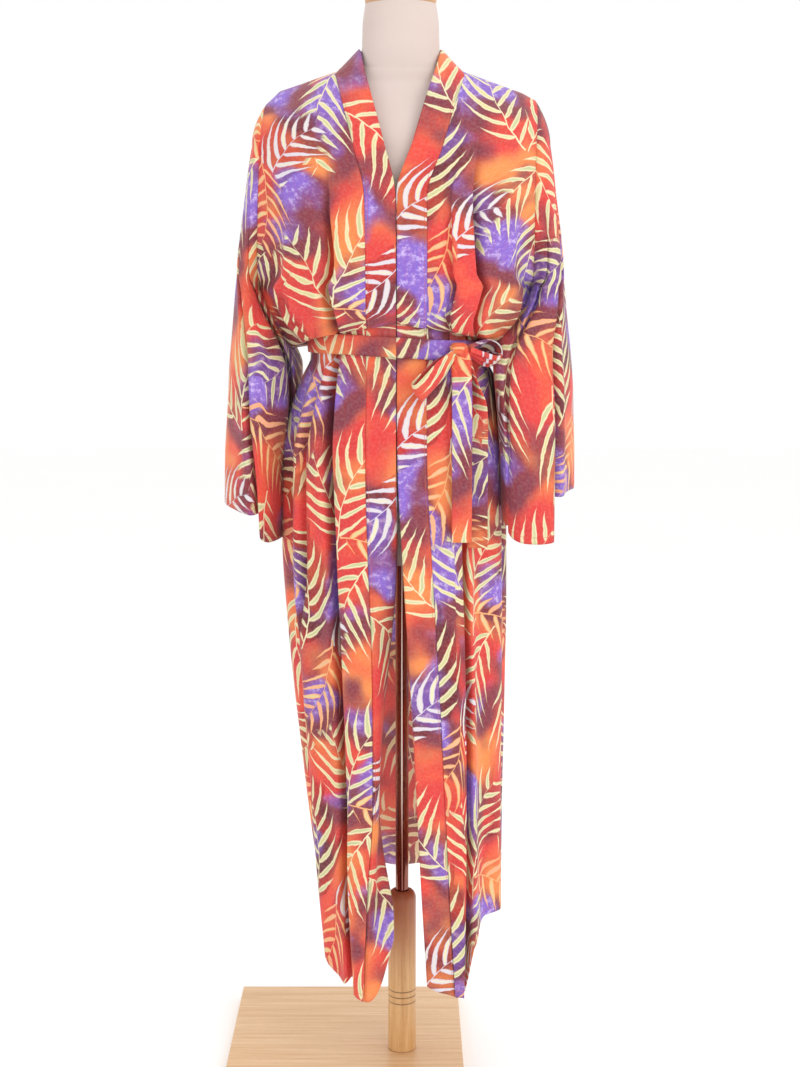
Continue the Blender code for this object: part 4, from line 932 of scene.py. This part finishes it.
def addPiece(name, mesh, node=None):
    piece = bpy.data.objects.new(name, mesh)
    scene.collection.objects.link(piece)
    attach(piece, "root")
    if node:
        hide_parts(node)
    return piece


# where each piece was cut from the printed cloth: across and down the repeat, in metres
printPlace = dict(
    front_right_panel=(0.07, 0.13), front_left_panel=(0.21, 0.02), back_panel=(0.11, 0.3),
    sleeve_right=(0.03, 0.07), sleeve_left=(0.17, 0.2), neck_band=(0.26, 0.05), belt_waist=(0.02, 0.30),
    belt_loop_right=(0.33, 0.30), belt_loop_left=(0.285, 0.20), belt_tail_right=(0.06, 0.1),
    belt_tail_left=(0.15, 0.26), belt_knot=(0.1, 0.05),
)


def clothPiece(name, grid, across, down, thick, outward, inner=wrongSide):
    # a thin shell on a grid of points, with its place on the printed cloth
    rows, columns = grid.shape[:2]
    number = np.arange(rows * columns).reshape(rows, columns)
    faces = np.stack([number[:-1, :-1], number[1:, :-1], number[1:, 1:], number[:-1, 1:]], axis=-1)
    normal = np.cross(grid[1:, :-1] - grid[:-1, :-1], grid[:-1, 1:] - grid[:-1, :-1])
    if (normal * outward[:-1, :-1]).sum() < 0:
        faces = faces[..., ::-1]
    mesh = bpy.data.meshes.new(name)
    mesh.from_pydata((grid + [0, 0, boardTop]).reshape(-1, 3).tolist(), [], faces.reshape(-1, 4).tolist())
    place = np.zeros((rows, columns, 3), np.float32)
    place[..., 0] = across + printPlace[name][0]
    place[..., 1] = down + printPlace[name][1]
    mesh.attributes.new("cloth", "FLOAT_VECTOR", "POINT").data.foreach_set("vector", place.ravel())
    mesh.materials.append(rightSide)
    mesh.materials.append(inner)
    mesh.shade_smooth()
    piece = addPiece(name + "_cloth", mesh, name)
    wall = piece.modifiers.new("wall", "SOLIDIFY")
    wall.thickness = thick
    wall.offset = 0
    wall.material_offset = 1
    area = np.linalg.norm(normal, axis=2).sum()
    print(name, "cloth", round(float(area), 4), "m2")
    return piece


def clothAcross(grid, downs):
    # distance of each column from the first, evened out over the rows near it
    steps = np.linalg.norm(np.diff(grid, axis=1), axis=2)
    near = np.exp(-(((downs[:, None] - downs[None]) / dye["ease"]) ** 2))
    steps = near @ steps / near.sum(axis=1, keepdims=True)
    return np.hstack([np.zeros((len(grid), 1)), np.cumsum(steps, axis=1)])


# rows of stitches, in metres: real ones are finer and closer than the eye can part at this distance
stitch = dict(long=0.0022, pitch=0.0032, wide=0.0005, high=0.0003, proud=0.3, hem=0.008)
sideSign = np.array([[a, b, c] for a in (-1, 1) for b in (-1, 1) for c in (-1, 1)], float)
barFaces = np.array([(0, 1, 3, 2), (4, 6, 7, 5), (0, 4, 5, 1), (2, 3, 7, 6), (0, 2, 6, 4), (1, 5, 7, 3)])


def sewingThread():
    # spun thread in the ground's red, a little uneven, with a soft shine
    made, add, shade = newMaterial("spun polyester thread")
    place = add("TexCoord", out="Object")
    uneven = add("TexNoise", place, named={"Scale": 1 / 0.02, "Detail": 2.0})
    tone = add("Mix", uneven, named=colours("#B8443E", "#E07A5A"), **mixed)
    ply = add("TexWave", place, 1 / 0.0004 / waveBands, 0.4, 1.0, bands_direction="DIAGONAL")
    bump = add("Bump", named={"Strength": 0.2, "Distance": 0.0001, "Height": ply})
    shade({"Base Color": tone, "Roughness": 0.5, "Normal": bump})
    return made


thread = sewingThread()


def outwardNormals(grid, outward):
    normal = unit(np.cross(np.gradient(grid, axis=0), np.gradient(grid, axis=1)))
    return normal * np.sign((normal * outward).sum())


def stitches(name, line, normals, thick):
    # one joined mesh of small bars along a line on the cloth
    done = lengthsAlong(line)
    spots = np.arange(stitch["pitch"], done[-1] - stitch["pitch"], stitch["pitch"])
    start, middle, end = (pointsAt(spots + stitch["long"] * k, done, line) for k in (-0.5, 0, 0.5))
    normal = unit(pointsAt(spots, done, normals))
    way = unit(end - start)
    side = np.cross(way, normal)
    middle = middle + normal * (thick / 2 + stitch["high"] * stitch["proud"]) + [0, 0, boardTop]
    axes = np.stack([way * stitch["long"], side * stitch["wide"], normal * stitch["high"]], axis=1) / 2
    corners = middle[:, None] + sideSign @ axes
    faces = (np.arange(len(corners)) * 8)[:, None, None] + barFaces
    mesh = bpy.data.meshes.new(name)
    mesh.from_pydata(corners.reshape(-1, 3).tolist(), [], faces.reshape(-1, 4).tolist())
    mesh.materials.append(thread)
    return addPiece(name, mesh)


level = np.array([1, 1, 0])


def sewPanel(name, grid, across, down, outward, hem, inner=wrongSide):
    # a hung panel and the row of stitches along its hem
    piece = clothPiece(name, grid, across, down, robe["thick"], outward, inner)
    normals = outwardNormals(grid, outward)
    sewn = stitches(name + "_stitches", grid[hem], normals[hem], robe["thick"])


def hemAt(downs):
    return int(np.argmin(np.abs(downs - (downs[-1] - stitch["hem"]))))


bodyDown = clothRows * mm
hem = hemAt(bodyDown)
for half, name in ((left, "front_right_panel"), (right, "front_left_panel")):
    grid = fronts[half]
    across = half * clothAcross(grid, bodyDown)
    down = bodyDown[:, None] + frontDrops[half]
    sewPanel(name, grid, across, down, grid * level, hem)
across = clothAcross(back, bodyDown)
across = across - across[:, [back.shape[1] // 2]]
down = bodyDown[:, None] + backDrop
sewPanel("back_panel", back, across, down, back * level, hem, litSide)
for half, name in ((left, "sleeve_right"), (right, "sleeve_left")):
    grid = sleeves[half]
    steps = np.median(np.linalg.norm(np.diff(grid, axis=0), axis=2), axis=1)
    down = np.concatenate([[0], np.cumsum(steps)])
    across = half * clothAcross(grid, down)
    across = across - across[:, [grid.shape[1] // 2]]
    outward = (grid - grid.mean(axis=1, keepdims=True)) * level
    hem = hemAt(down)
    sewPanel(name, grid, across, down[:, None], outward, hem)
print("panels and sleeves sewn")

# band from hem to hem round the neck, folded double
neckRows = []
for share in np.linspace(0, 1, 62)[1:-1]:
    half = left if share <= 0.5 else right
    part = share * 2 if half == left else (1 - share) * 2
    seam = along(shoulderBack(half)[2:], [part])[0]
    inward = unit(np.array([-seam[0], neckMiddleY - seam[1], 0]))
    lean = bandTilt["side"] + (bandTilt["back"] - bandTilt["side"]) * math.sin(part * math.pi / 2)
    tilt = math.radians(lean)
    rise = inward * math.sin(tilt) + np.array([0, 0, math.cos(tilt)])
    neckRows.append([seam + rise * robe["bandWide"] * up for up in np.linspace(1, 0, bandColumns)])
band = np.concatenate([strips[left][::-1], np.array(neckRows), strips[right]])
outward = outwardNormals(band, band * level)
# it stands prouder in the middle than at its two edges
crown = np.sin(np.linspace(0, math.pi, bandColumns)) ** 0.4
band = band + outward * robe["bandProud"] * (0.4 + 0.6 * crown)[None, :, None]
# the print runs on down the band, the uneven hem too
steps = np.median(np.linalg.norm(np.diff(band, axis=0), axis=2), axis=1)
first, last = len(clothRows) - 1, len(clothRows) + len(neckRows)
neckDown = robe["hemCloth"] * mm + np.cumsum(steps[first:last])
leftDown = (robe["hemCloth"] - clothRows[::-1, None]) * mm - stripDrops[left][::-1]
rightDown = neckDown[-1] + bodyDown[:, None] + stripDrops[right]
down = np.vstack([leftDown, np.repeat(neckDown[:-1, None], bandColumns, axis=1), rightDown])
across = np.linspace(0, robe["bandWide"], bandColumns)
piece = clothPiece("neck_band", band, across, down, robe["bandThick"], outward, rightSide)
seamLine, seamOut = band[:, bandColumns - 2], outward[:, bandColumns - 2]
sewn = stitches("neck_band_stitches", seamLine, seamOut, robe["bandThick"])

# belt round the gathered waist
rim = []
shares = np.linspace(0, 1, 61)
for half, front in ((left, True), (left, False), (right, False), (right, True)):
    line = bodyLine(robe["beltCloth"], half, front)
    rim.append(along(line, shares if half == left else 1 - shares)[:-1])
rim = np.concatenate(rim)
rim = (np.roll(rim, 1, axis=0) + rim * 2 + np.roll(rim, -1, axis=0)) / 4
way = np.roll(rim, -1, axis=0) - np.roll(rim, 1, axis=0)
rimOut = unit(np.stack([way[:, 1], -way[:, 0], 0 * way[:, 0]], axis=1))
rimOut *= np.sign((rimOut * rim).sum())
beltLine = rim + rimOut * robe["beltRest"]
sloped = np.clip(beltLine[:, 0], -robe["beltSlopeTo"], robe["beltSlopeTo"])
beltLine[:, 2] = (robe["beltHeight"] - robe["beltSlope"] * sloped) * mm
beltLine, beltOut = np.vstack([beltLine, beltLine[:1]]), np.vstack([rimOut, rimOut[:1]])
ups = np.linspace(1, -1, 9)
halfWide, crown = robe["beltWide"] / 2, robe["beltCrown"]
belt = np.stack([beltLine + [0, 0, halfWide * up] + beltOut * crown * (1 - up**2) for up in ups])
facing = np.repeat(beltOut[None], len(ups), axis=0)
piece = clothPiece(
    "belt_waist", belt, lengthsAlong(beltLine), (ups * halfWide)[:, None], robe["beltThick"], facing,
    rightSide,
)
print("band and belt sewn")


# the bow's sizes in metres; knot is its width, depth and height
bow = dict(
    at=0.070, knot=(0.025, 0.019, 0.017), seat=0.0015, rise=0.003, pinch=0.5, root=0.42, crumples=9.5,
    thick=0.0014, loopCup=0.0012, loopSteps=24, flare=0.15, tailCup=0.0010, tailSteps=90,
)
frontSide = beltLine[:-1, 1] < 0
byX = np.argsort(beltLine[:-1][frontSide][:, 0])
frontBelt, frontOut = beltLine[:-1][frontSide][byX], beltOut[:-1][frontSide][byX]
knotAt = pointsAt([bow["at"]], frontBelt[:, 0], frontBelt)[0]
out = unit(pointsAt([bow["at"]], frontBelt[:, 0], frontOut)[0])
upWay = np.array([0, 0, 1.0])
acrossWay = unit(np.cross(upWay, out))
acrossWay *= np.sign(acrossWay[0])
knotMiddle = knotAt + out * (bow["seat"] + bow["knot"][1] / 2) + upWay * bow["rise"]


def ribbonPiece(name, path, side, face, wide, cup, crumple):
    # a length of belt along its path; shallow crumples run out from the knot and fade
    spread = np.linspace(-1, 1, 17)
    rise = cup * (1 - spread**2) + crumple[:, None] * np.cos(spread * bow["crumples"])
    grid = path[:, None] + side[:, None] * (wide[:, None] / 2 * spread)[..., None]
    grid = grid + face[:, None] * rise[..., None]
    across = (spread * robe["beltWide"] / 2)[None]
    outward = np.repeat(face[:, None], len(spread), axis=1)
    down = lengthsAlong(path)[:, None]
    return clothPiece(name, grid, across, down, bow["thick"], outward, rightSide)


def eased(t):
    t = np.clip(t, 0, 1)
    return t * t * (3 - 2 * t)


def pinched(distance, reach, pinch):
    # the belt's width, squeezed where it leaves the knot
    return robe["beltWide"] * (pinch + (1 - pinch) * eased(distance / reach))


# loops: angle from the picture's right, length, how far the two layers part and which way
loops = [
    dict(
        name="belt_loop_right", angle=219, long=0.090, spread=0.010, tilt=-12, forward=0.001, full=0.034,
        flat=0.175, crumple=0.0016, fade=0.022,
    ),
    dict(
        name="belt_loop_left", angle=-9, long=0.060, spread=0.027, tilt=-58, forward=0.007, full=0.030,
        flat=0.13, crumple=0.0034, fade=0.060,
    ),
]
for loop in loops:
    turn, tilt = math.radians(loop["angle"]), math.radians(loop["tilt"])
    run = acrossWay * math.cos(turn) + upWay * math.sin(turn)
    over = unit(np.cross(run, out))
    over *= np.sign(over[2])
    apart = out * math.cos(tilt) + over * math.sin(tilt)
    count = bow["loopSteps"]
    start, part = bow["knot"][0] * bow["root"], loop["spread"] / 2
    places = np.linspace(start, loop["long"] - part, count)
    flare = part * (bow["flare"] + (1 - bow["flare"]) * np.sin(np.linspace(0, math.pi / 2, count)) ** 1.3)
    middle = knotMiddle + out * loop["forward"]
    bends = np.linspace(-math.pi / 2, math.pi / 2, 15)[1:-1]
    bends = [run * math.cos(b) + apart * math.sin(b) for b in bends]
    path = [middle + run * p - apart * f for p, f in zip(places, flare)]
    path += [middle + run * places[-1] + b * part for b in bends]
    path += [middle + run * p + apart * f for p, f in zip(places[::-1], flare[::-1])]
    path = np.array(path)
    face = np.array([-apart] * count + bends + [apart] * count)
    side = np.repeat(unit(np.cross(run, apart))[None], len(path), axis=0)
    reach = np.abs((path - middle) @ run) - start
    wide = pinched(reach, loop["full"], bow["pinch"])
    crumple = loop["crumple"] * np.exp(-reach / loop["fade"])
    piece = ribbonPiece(loop["name"], path, side, face, wide, bow["loopCup"], crumple)


def frontSurface(x, heights):
    # how far forward the cloth is where a tail hangs over it
    grid = np.concatenate([strips[right], fronts[right]], axis=1)
    near = np.abs(grid[:, :, 0] - x) < robe["beltWide"] * 0.75
    return np.array([grid[:, :, 1][(np.abs(grid[:, :, 2] - h) < 0.012) & near].min() for h in heights])


tails = [
    dict(
        name="belt_tail_right", begin=-0.001, ending=0.001, ahead=0.006, high=0.002, long=0.262, flat=0.28,
        twist=8, full=0.022, pinch=0.72,
    ),
    dict(
        name="belt_tail_left", begin=0.0105, ending=0.0265, ahead=0.0, high=-0.006, long=0.264, flat=0.265,
        twist=62, full=0.075, pinch=0.40,
    ),
]
# how tails hang: clear and back are metres, stack is a share of ahead, the rest are shares of the length
hang = dict(clear=0.0045, stack=0.4, back=0.006, aside=0.25, fall=1 / 6, twistAt=0.16, twistWide=0.13)
tailCrumple = dict(deep=0.0009, fade=0.15)
for tail in tails:
    places = np.linspace(0, 1, bow["tailSteps"])
    start = knotMiddle + out * tail["ahead"] + upWay * tail["high"]
    heights = start[2] - places * tail["long"]
    aside = start[0] + tail["begin"] + (tail["ending"] - tail["begin"]) * eased(places / hang["aside"])
    lie = np.minimum.accumulate(frontSurface(start[0] + tail["ending"], heights))
    lie = lie - hang["clear"] - tail["ahead"] * hang["stack"]
    fallen = np.clip(places / hang["fall"], 0, 1)
    deep = start[1] * (1 - fallen) + np.minimum(lie, start[1] + hang["back"]) * fallen
    path = np.stack([aside, deep, heights], axis=1)
    turn = np.radians(tail["twist"]) * np.exp(-(((places - hang["twistAt"]) / hang["twistWide"]) ** 2))
    side = np.stack([np.cos(turn), -np.sin(turn), 0 * turn], axis=1)
    face = np.stack([-np.sin(turn), -np.cos(turn), 0 * turn], axis=1)
    wide = pinched(places * tail["long"], tail["full"], tail["pinch"])
    crumple = tailCrumple["deep"] * np.exp(-places / tailCrumple["fade"])
    piece = ribbonPiece(tail["name"], path, side, face, wide, bow["tailCup"], crumple)

work = bmesh.new()
bmesh.ops.create_icosphere(work, subdivisions=5, radius=0.5)
for vertex in work.verts:
    p = np.array(vertex.co) * 2
    rounded = np.sign(p) * np.abs(p) ** 0.8  # a squarish roll, creased along its wraps
    wrap = 1 + 0.035 * math.cos(9 * p[2] + 2.5 * p[0]) + 0.02 * math.sin(17 * p[2] - 3 * p[0])
    sized = rounded / 2 * wrap * np.array(bow["knot"])
    vertex.co = knotMiddle + acrossWay * sized[0] - out * sized[1] + upWay * sized[2] + [0, 0, boardTop]
knotMesh = bpy.data.meshes.new("belt_knot")
work.to_mesh(knotMesh)
work.free()
place = np.array([v.co for v in knotMesh.vertices])[:, [0, 2, 1]] * [1, 1, 0] + [*printPlace["belt_knot"], 0]
layer = knotMesh.attributes.new("cloth", "FLOAT_VECTOR", "POINT")
layer.data.foreach_set("vector", place.astype(np.float32).ravel())
knotMesh.materials.append(rightSide)
knotMesh.shade_smooth()
addPiece("belt_knot_cloth", knotMesh, "belt_knot")
print("bow tied")


# sizes in metres, heights over the board
stand = dict(
    board=(0.347, 0.350, 0.020), boardAt=(-0.0835, 0.045), boardEdge=0.0015, gap=0.0003,
    postRadius=0.0205, postHigh=0.247, postDome=0.013, postSocket=0.070, postLip=0.001, postFoot=0.0012,
    # some of these sizes place painted shade in the post's grooves, painted reflection on the post's top and
    # painted brown reflection low on the pole
    grooves=(0.0755, 0.0850, 0.0940), groove=0.0009, grooveHalf=0.0011, grooveShade=0.0014, robeReflectionLow=0.10,
    poleRadius=0.0095, brownReflectionLow=0.32, brownReflectionHigh=0.46, capRadius=0.0490, capHigh=0.022, capRim=0.008,
    formBottom=0.745, formTop=1.506, formShift=-0.002, formRound=0.92, formSteps=128, sharp=38,
)
torsoRings = table(
    "height wide front back",
    [
        (745, 118, -84, 84), (760, 124, -89, 90), (850, 129, -94, 96), (930, 118, -90, 90),
        (1050, 95, -80, 72), (1120, 118, -97, 86), (1200, 140, -112, 96), (1260, 152, -108, 100),
        (1320, 162, -98, 98), (1348, 166, -84, 89), (1366, 160, -70, 76), (1380, 138, -58, 63),
        (1392, 102, -51, 56), (1404, 76, -47, 52), (1420, 60, -47, 50), (1436, 54, -49, 50),
        (1450, 53, -50, 50), (1480, 52, -50, 49.5), (1506, 48.5, -48.5, 48.5),
    ],
)
neckSeam = dict(height=1428, tilt=10, deep=0.012, wide=1.6)  # millimetres, and a share of the ring


def jersey():
    # knitted cotton stretched over the form: matt, off-white, with a fine rib
    made, add, shade = newMaterial("cotton jersey")
    place = add("TexCoord", out="Object")
    cloud = add("TexNoise", place, named={"Scale": 1 / 0.09, "Detail": 3.0})
    tone = add("Mix", cloud, named=colours("#CCBAB1", "#DDCCC4"), **mixed)
    # ribs drawn at 1.5 mm, a little coarser than the real 1 mm
    rib = add("TexWave", place, 1 / 0.0015 / waveBands, 0.6, 1.0, bands_direction="X")
    bump = add("Bump", named={"Strength": 0.15, "Distance": 0.0002, "Height": rib})
    shade({"Base Color": tone, "Roughness": 0.85, "Sheen Weight": 0.1, "Normal": bump})
    return made


def beech(name, grainAxis, pale, dark, gloss, shadedGrooves=(), robeReflection=None):
    # planed and oiled beech: long faint streaks and short dark flecks
    made, add, shade = newMaterial(name)
    place = add("TexCoord", out="Object")
    stretch, fleck = [1 / 0.006] * 3, [1 / 0.0014] * 3
    stretch[grainAxis], fleck[grainAxis] = 1 / 0.16, 1 / 0.012
    grain = add("Mapping", place, named={"Scale": stretch})
    grain = add("TexNoise", grain, named={"Scale": 1.0, "Detail": 4.0, "Roughness": 0.6, "Distortion": 0.4})
    stretched = add("Mapping", place, named={"Scale": fleck})
    flecks = add("TexNoise", stretched, named={"Scale": 1.0, "Detail": 2.0})
    tone = add("Mix", add("MapRange", grain, 0.3, 0.7), named=colours(pale, dark), **mixed)
    mark = add("MapRange", flecks, 0.6, 0.8, 0.0, 0.35)
    tone = add("Mix", mark, named=colours(tone, "#8A5A34"), **mixed)
    height = add("SeparateXYZ", place, out="Z")
    if robeReflection:  # redder and darker towards the top: painted shade and red light reflected from the robe round the post
        reflectedRed = add("MapRange", height, robeReflection["low"], robeReflection["high"], 0.0, robeReflection["most"], **softEdge)
        tone = add("Mix", reflectedRed, named=colours(tone, robeReflection["colour"]), **mixed)
    for groove in shadedGrooves:  # painted shade: the bottom of a turned groove is darker
        off = add("Math", add("Math", height, groove, operation="SUBTRACT"), operation="ABSOLUTE")
        grooveShade = add("MapRange", off, 0.0, stand["grooveShade"], 0.75, 0.0, **softEdge)
        tone = add("Mix", grooveShade, named=colours(tone, "#5A3820"), **mixed)
    bump = add("Bump", named={"Strength": 0.2, "Distance": 0.0002, "Height": grain})
    shade({"Base Color": tone, "Roughness": gloss, "Normal": bump})
    return made


def chrome():
    # bright chromium plate with faint polishing lines; its brown tint is painted reflection of the red robe
    # round it, browner still near the post
    made, add, shade = newMaterial("chromium plate")
    place = add("TexCoord", out="Object")
    drawn = add("Mapping", place, named={"Scale": (1 / 0.002, 1 / 0.002, 1 / 0.05)})
    lines = add("TexNoise", drawn, named={"Scale": 1.0, "Detail": 3.0})
    rough = add("MapRange", lines, 0.3, 0.7, 0.06, 0.14)
    height = add("SeparateXYZ", place, out="Z")
    # painted reflection: the plate's colour turns browner low down, near the post
    reflectedBrown = add("MapRange", height, stand["brownReflectionLow"], stand["brownReflectionHigh"], 1.0, 0.0, **softEdge)
    tone = add("Mix", reflectedBrown, named=colours("#CDB6AA", "#8E5A4C"), **mixed)
    shade({"Base Color": tone, "Roughness": rough, "Metallic": 1.0})
    return made


postGrooves = [boardTop + stand["gap"] + height for height in stand["grooves"]]
# painted shade and red reflected light on the post, strongest at its top, under the robe
postRobeReflection = dict(
    low=boardTop + stand["robeReflectionLow"], high=boardTop + stand["postHigh"], most=0.72, colour="#B0533A"
)
boardWood = beech("oiled beech board", 0, "#E2BE94", "#D0A372", 0.42)
postWood = beech("oiled beech post", 2, "#E4BC86", "#CC9860", 0.38, postGrooves, postRobeReflection)
capWood = beech("oiled beech cap", 0, "#DCB083", "#C48E5C", 0.38)


def hardPiece(name, mesh, material):
    mesh.materials.append(material)
    mesh.shade_smooth()
    mesh.set_sharp_from_angle(angle=math.radians(stand["sharp"]))
    return addPiece(name + "_look", mesh, name)


def ringPiece(name, rings, material):
    # a skin over rings of points from end to end; a ring of one point closes its end
    work = bmesh.new()
    loops = [[work.verts.new(point) for point in points] for points in rings]
    for low, high in zip(loops, loops[1:]):
        steps = max(len(low), len(high))
        for i in range(steps):
            j = (i + 1) % steps
            corners = [low[i % len(low)], low[j % len(low)], high[j % len(high)], high[i % len(high)]]
            work.faces.new(list(dict.fromkeys(corners)))
    for last in (loops[0][::-1], loops[-1]):
        if len(last) > 1:
            work.faces.new(last)
    bmesh.ops.recalc_face_normals(work, faces=work.faces)
    mesh = bpy.data.meshes.new(name)
    work.to_mesh(mesh)
    work.free()
    return hardPiece(name, mesh, material)


def turned(name, profile, material, slot, place, steps=96):
    turn = np.linspace(0, 2 * math.pi, steps, endpoint=False)
    circle = np.stack([np.cos(turn), np.sin(turn), 0 * turn], axis=1)
    rings = []
    for radius, height in profile:
        points = circle * radius + place + [0, 0, height]
        rings.append(points if radius else points[:1])
    ringPiece(name, rings, material)


def domed(inner, outer, low, high, degrees):
    # a quarter of an oval, from near the middle down to the rim
    angles = [math.radians(d) for d in degrees]
    return [(inner + (outer - inner) * math.cos(a), low + (high - low) * math.sin(a)) for a in angles]


# form: rings with a faint seam where the neck is sewn on
heights = np.concatenate([np.linspace(745, 1380, 90), np.linspace(1383, 1506, 60)])
turn = np.linspace(0, 2 * math.pi, stand["formSteps"], endpoint=False)
sideways, ahead = (np.sign(c) * np.abs(c) ** stand["formRound"] for c in (np.sin(turn), np.cos(turn)))
torsoSides = ("wide", "front", "back")
rings = []
for height in heights:
    wide, fore, rear = (smooth(torsoRings["height"], torsoRings[k], height) for k in torsoSides)
    depth = np.where(np.cos(turn) > 0, -fore, rear)
    seamAt = neckSeam["height"] - neckSeam["tilt"] * np.cos(turn)
    dent = 1 - neckSeam["deep"] * np.exp(-(((height - seamAt) / neckSeam["wide"]) ** 2))
    points = np.stack([wide * sideways * dent, -depth * ahead * dent, 0 * turn + height], axis=1)
    rings.append(points * mm + [stand["formShift"], 0, boardTop])
ringPiece("form_torso", rings, jersey())

radius, rim, high = stand["capRadius"], stand["capRim"], stand["capHigh"]
capProfile = [(0, high), *domed(0, radius, rim, high, range(84, 5, -6))]
capProfile += [(radius, 0.006), (radius - 0.0008, 0.0008), (radius - 0.0015, 0), (0, 0)]
capPlace = (stand["formShift"], 0, boardTop + stand["formTop"] + stand["gap"])
turned("neck_cap", capProfile, capWood, "beech", capPlace)

radius, high = stand["poleRadius"], stand["postHigh"]
socket = high - stand["postSocket"]
foot, top = socket + 2 * stand["gap"], stand["formBottom"] - stand["gap"]
poleProfile = [(0, top), (radius, top), (radius, foot), (0, foot)]
turned("pole", poleProfile, chrome(), "chromed_steel", (0, 0, boardTop))

radius, bore = stand["postRadius"], stand["poleRadius"] + stand["gap"]
postProfile = [(0, socket), (bore, socket), (bore, high - stand["postLip"])]
postProfile += domed(bore + stand["postLip"], radius, high - stand["postDome"], high, range(84, -1, -7))
for height in stand["grooves"][::-1]:
    for rise, depth in ((1, 0), (0.5, 0.8), (0, 1), (-0.5, 0.8), (-1, 0)):
        postProfile.append((radius - stand["groove"] * depth, height + rise * stand["grooveHalf"]))
postProfile += [(radius, stand["postFoot"]), (radius - stand["postFoot"], 0), (0, 0)]
turned("post", postProfile, postWood, "beech", (0, 0, boardTop + stand["gap"]))

work = bmesh.new()
bmesh.ops.create_cube(work, size=1)
bmesh.ops.scale(work, vec=stand["board"], verts=work.verts)
bmesh.ops.translate(work, vec=(*stand["boardAt"], stand["board"][2] / 2), verts=work.verts)
boardMesh = bpy.data.meshes.new("base_board")
work.to_mesh(boardMesh)
work.free()
board = hardPiece("base_board", boardMesh, boardWood)
edge = board.modifiers.new("edges", "BEVEL")
edge.width, edge.segments = stand["boardEdge"], 4
print("form and stand set")
